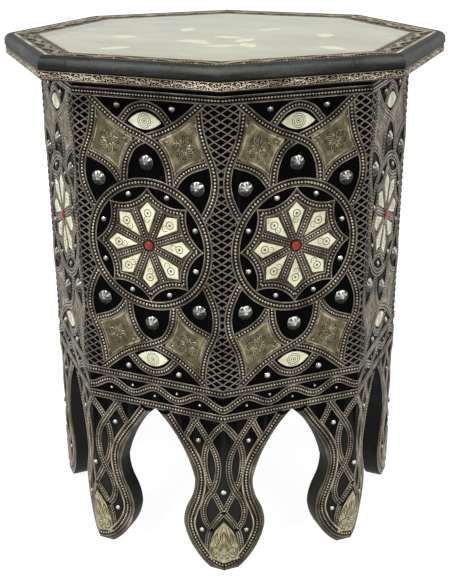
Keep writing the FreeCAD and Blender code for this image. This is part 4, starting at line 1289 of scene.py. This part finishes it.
on_border = lying(BORDER_GROUND, BORDER_FLATTENING)
border_skin, bay_skin = Skin(), Skin()
along_side(border_skin, BORDER_SECTION)
half_wave = BORDER_WAVE * SLOPE
wave_end = half_wave + BORDER_WAVE_PAST
wave_x = np.arange(-wave_end, wave_end + NUDGE, BORDER_WAVE_STEP)
phase = 2 * math.pi * BORDER_WAVE_BAYS * (wave_x + half_wave) / (2 * half_wave)
border_wave = np.column_stack([wave_x, -BORDER_WAVE - BORDER_WAVE_RISE * np.cos(phase)])
for reach in BORDER_WIRES:
    carry(border_skin, border_line(reach), THIN_WIRE, on_border)
carry(border_skin, border_wave, strap_section(BORDER_WAVE_HALF), on_border)
row_beads = bead_places(border_line(BORDER_BEADS)[2:-2], ROW_SPACING)
domes(border_skin, row_beads, *ROW_BEAD, on_border, rim=BEAD_RIM)
wave_beads = bead_places(border_wave, WAVE_SPACING)
wave_beads = wave_beads[np.abs(wave_beads[:, 0]) < -wave_beads[:, 1] * SLOPE - MITRE_ROOM]
domes(border_skin, wave_beads, *WAVE_BEAD, on_border, rim=BEAD_RIM)
half_bays = 2 * BORDER_WAVE_BAYS
bay_middles = np.arange(half_bays + 1) / half_bays * 2 * half_wave - half_wave
across_wave = BORDER_WAVE_RISE + BORDER_WAVE_HALF - BAY_INSET
bays = [(x, -BORDER_WAVE + across_wave * (-1) ** i) for i, x in enumerate(bay_middles)][1:-1]
domes(border_skin, bays, *BAY_STUD, on_border, rim=BEAD_RIM)
for place in bays:
    for side in (-1, 1):
        for tilt in BAY_LEAF_TILTS:
            degrees = 90 - side * 90 + side * tilt
            leaf = petal(degrees, BAY_LEAF_START, BAY_LEAF_END, BAY_LEAF_HALF, place)
            tablet(bay_skin, leaf, BAY_LEAF_LEVELS, on_border)
on_every_side("top_border_metal", border_skin, BORDER_METAL, "top_border")
round_the_table("top_border_leaves", bay_skin, PRESSED_DARK)

# %% [markdown]
# ## Under the glass
#
# Bone slivers, pointed at both ends, lie on the inlaid panel, each a little thicker than the one
# before so that two that cross don't share a face. The pane rests on a thin strip along its edge,
# which fills the height between the panel and the pane.

# %% Bone slivers under the glass, and the strip that the pane lies on
INLAY_TOP = cad_range("inlay_panel", 2)[1]
SLIVER_LENGTH, SLIVER_WIDTH, SLIVER_OUT, SLIVER_POINTS = 34.0, 17.0, 0.12, 8
SLIVER_TURN, SLIVER_SHINE, SLIVER_STEPS = 0.9, 0.5, 8
INLAY_TURN = math.radians(23.51)
BEDDING_WIDTH, BEDDING_GAP = 2.0, 0.02
SLIVERS = [
    (-107, 11), (-108, -77), (-41, 68), (-25, -40), (-35, -27), (22, -25), (24, -64), (5, -1),
    (51, 63), (109, 9), (106, -88), (-2, -67),
]

on_inlay = lying(INLAY_TOP)
sliver_skin, bedding_skin = Skin(), Skin()
c, s = math.cos(INLAY_TURN), math.sin(INLAY_TURN)
for i, (right, away) in enumerate(SLIVERS):
    middle = np.array([right * c - away * s, right * s + away * c])
    lean = SLIVER_TURN * i
    tip = np.array([math.cos(lean), math.sin(lean)]) * SLIVER_LENGTH / 2
    ends = middle - tip, middle + tip
    leaf = np.vstack([bowed(*pair, SLIVER_WIDTH / 2, SLIVER_POINTS) for pair in (ends, ends[::-1])])
    around = len(leaf)
    points = np.vstack([leaf, leaf, middle[None]])
    thickness = SLIVER_OUT * (1 + i / SLIVER_STEPS)
    up = np.concatenate([np.zeros(around), np.full(around + 1, thickness)])
    faces = [grid(2, around, wrap=True), fan(around, around, 2 * around)]
    sliver_skin.add(on_inlay(points[:, 0], points[:, 1], up), SLIVER_SHINE, faces, mitred=False)
make_piece("inlay_slivers", sliver_skin, INLAY_BONE, smooth=False)
pane_reach, pane_low = cad_range("glass_panel", 0)[1], cad_range("glass_panel", 2)[0]
bedding_high = pane_low - BEDDING_GAP
along_side(bedding_skin, [
    (pane_reach, INLAY_TOP, 0), (pane_reach, bedding_high, 0),
    (pane_reach - BEDDING_WIDTH, bedding_high, 0), (pane_reach - BEDDING_WIDTH, INLAY_TOP, 0),
])
round_the_table("pane_bedding", bedding_skin, INLAY_FIELD, smooth=False)
print("slivers under the glass:", len(SLIVERS))

# %% [markdown]
# ## CAD pieces that stay
#
# Boards, blocks, the inlaid panel and the pane are already true to shape. They keep their meshes
# and only get their finish. The pane's faces let light through and mirror more of it at grazing
# angles, and its edges are ground dull, as the edges of a cut pane are.

# %% Finish the CAD pieces
GLASS_TINT, GLASS_INDEX, GROUND_EDGE = (0.935, 0.945, 0.885, 1), 1.5, (0.4, 0.4, 0.26, 1)
SMEAR_SCALE, SMEAR_DETAIL, SMEAR_RANGE, HAZE = 9.0, 1.0, (0.35, 0.75), (0.05, 0.16)
RIPPLE_SCALE, RIPPLE_STRENGTH, RIPPLE_DEPTH = 7.0, 0.1, 0.0006
glass = new_material("clear_table_glass")
node, maths = node_makers(glass.node_tree)
place = node("ShaderNodeTexCoord").outputs
noise = {"Vector": place["Object"]}
smears = node("ShaderNodeTexNoise", **noise, Scale=SMEAR_SCALE, Detail=SMEAR_DETAIL).outputs[0]
low, high = SMEAR_RANGE
haze = node("ShaderNodeMapRange", _0=smears, _1=low, _2=high, _3=HAZE[0], _4=HAZE[1]).outputs[0]
waves = node("ShaderNodeTexNoise", **noise, Scale=RIPPLE_SCALE, Detail=0.0).outputs[0]
ripple = node("ShaderNodeBump", Height=waves, Strength=RIPPLE_STRENGTH, Distance=RIPPLE_DEPTH)
clear = node("ShaderNodeBsdfTransparent", Color=GLASS_TINT).outputs[0]
mirror = node("ShaderNodeBsdfAnisotropic", Roughness=haze, Normal=ripple.outputs[0]).outputs[0]
ground = node("ShaderNodeBsdfDiffuse", Color=GROUND_EDGE).outputs[0]
fresnel = node("ShaderNodeFresnel", IOR=GLASS_INDEX).outputs[0]
back = node("ShaderNodeNewGeometry").outputs["Backfacing"]
mirrored_share = maths("SUBTRACT", fresnel, back, clamp=True)
flatness = maths("ABSOLUTE", node("ShaderNodeSeparateXYZ", Vector=place["Normal"]).outputs["Z"])
pane = node("ShaderNodeMixShader", _0=mirrored_share, _1=clear, _2=mirror).outputs[0]
pane = node("ShaderNodeMixShader", _0=flatness, _1=ground, _2=pane).outputs[0]
glass_output = glass.node_tree.nodes["Material Output"]
glass.node_tree.links.new(pane, glass_output.inputs["Surface"])

CAD_FINISHES = {
    "side_panel": BLACK_WOOD,
    "corner_block": BLACK_WOOD,
    "top_board": BLACK_WOOD,
    "inlay_panel": INLAY_FIELD,
    "glass_panel": glass,
}
for name, node_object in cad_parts.items():
    for stem, finish in CAD_FINISHES.items():
        if name.startswith(stem):
            node_object.data.materials.clear()
            node_object.data.materials.append(finish)
print("finished CAD pieces:", ", ".join(CAD_FINISHES))

# %% [markdown]
# ## Camera and light
#
# The camera's place, lens and aim were worked out from the photograph's own perspective: where
# the corners of the top, the feet and the medallions lie in it. The table stands on a white
# floor in a bright studio, with three soft lamps: in front, to the right and above. The camera,
# mirrors and glass see the world at full strength, and everything else gets less light from it.

# %% Camera
IMAGE_WIDTH, IMAGE_HEIGHT = 452, 584
FOCAL_PIXELS = 944.6
SENSOR = 36.0
AIM = Vector((0, 0, 0.27))
DISTANCE, AROUND, ABOVE, ROLL = 1.101, -66.49, 20.97, -0.38
CENTRE_PIXEL = (225.6, 268.8)

camera_data = bpy.data.cameras.new("camera")
camera = add_object("camera", camera_data)
a, e = math.radians(AROUND), math.radians(ABOVE)
back = Vector((math.cos(e) * math.cos(a), math.cos(e) * math.sin(a), math.sin(e)))
camera.location = AIM + back * DISTANCE
camera.rotation_mode = "QUATERNION"
turn = (-back).to_track_quat("-Z", "Y")
turn.rotate(Quaternion(back, math.radians(ROLL)))
camera.rotation_quaternion = turn
camera_data.sensor_width = SENSOR
camera_data.lens = FOCAL_PIXELS / IMAGE_HEIGHT * SENSOR
camera_data.shift_x = (IMAGE_WIDTH / 2 - CENTRE_PIXEL[0]) / IMAGE_HEIGHT
camera_data.shift_y = (CENTRE_PIXEL[1] - IMAGE_HEIGHT / 2) / IMAGE_HEIGHT
bpy.context.scene.camera = camera
print("camera at", [round(value, 3) for value in camera.location], "lens", round(camera_data.lens, 1))

# %% Floor, world and lamps
FLOOR = 60.0
FLOOR_SURFACE = {
    "Base Color": (0.2, 0.2, 0.2, 1), "Roughness": 0.9,
    "Emission Color": (1, 1, 1, 1), "Emission Strength": 0.94,
}
WORLD_LIGHT = 0.45
LAMP_AIM = (0, 0, 0.3)
# Of each lamp: name, place, side of the square, power
LAMPS = [
    ("key", (-0.5, -1.5, 2.0), 0.7, 38),
    ("fill", (1.75, -1.0, 1.95), 1.2, 17),
    ("top", (0.0, 0.6, 2.2), 1.6, 18),
]
floor_mesh = bpy.data.meshes.new("floor")
floor_corners = [(-FLOOR, -FLOOR, 0), (FLOOR, -FLOOR, 0), (FLOOR, FLOOR, 0), (-FLOOR, FLOOR, 0)]
floor_mesh.from_pydata(floor_corners, [], [(0, 1, 2, 3)])
floor = add_object("floor", floor_mesh)
white = new_material("white_floor")
for name, value in FLOOR_SURFACE.items():
    white.node_tree.nodes["Principled BSDF"].inputs[name].default_value = value
floor_mesh.materials.append(white)

world = bpy.data.worlds.new("studio")
world.use_nodes = True
node, maths = node_makers(world.node_tree)
rays = node("ShaderNodeLightPath").outputs
seen = maths("ADD", rays["Is Camera Ray"], rays["Is Glossy Ray"], clamp=True)
seen = maths("ADD", seen, rays["Is Transmission Ray"], clamp=True)
strength = node("ShaderNodeMapRange", _0=seen, _3=WORLD_LIGHT).outputs[0]
backdrop = world.node_tree.nodes["Background"].inputs
world.node_tree.links.new(strength, backdrop["Strength"])
backdrop["Color"].default_value = (1, 1, 1, 1)
bpy.context.scene.world = world


def lamp(name, place, size, power):
    """A square soft lamp that looks at the table."""
    data = bpy.data.lights.new(name, "AREA")
    data.size = size
    data.energy = power
    item = add_object(name, data)
    item.location = place
    item.rotation_euler = (Vector(LAMP_AIM) - Vector(place)).to_track_quat("-Z", "Y").to_euler()


for row in LAMPS:
    lamp(*row)
print("lamps:", ", ".join(row[0] for row in LAMPS))
bpy.context.scene.view_settings.view_transform = "Standard"

# %% Box of the CAD frame
low, high = CAD_BOX
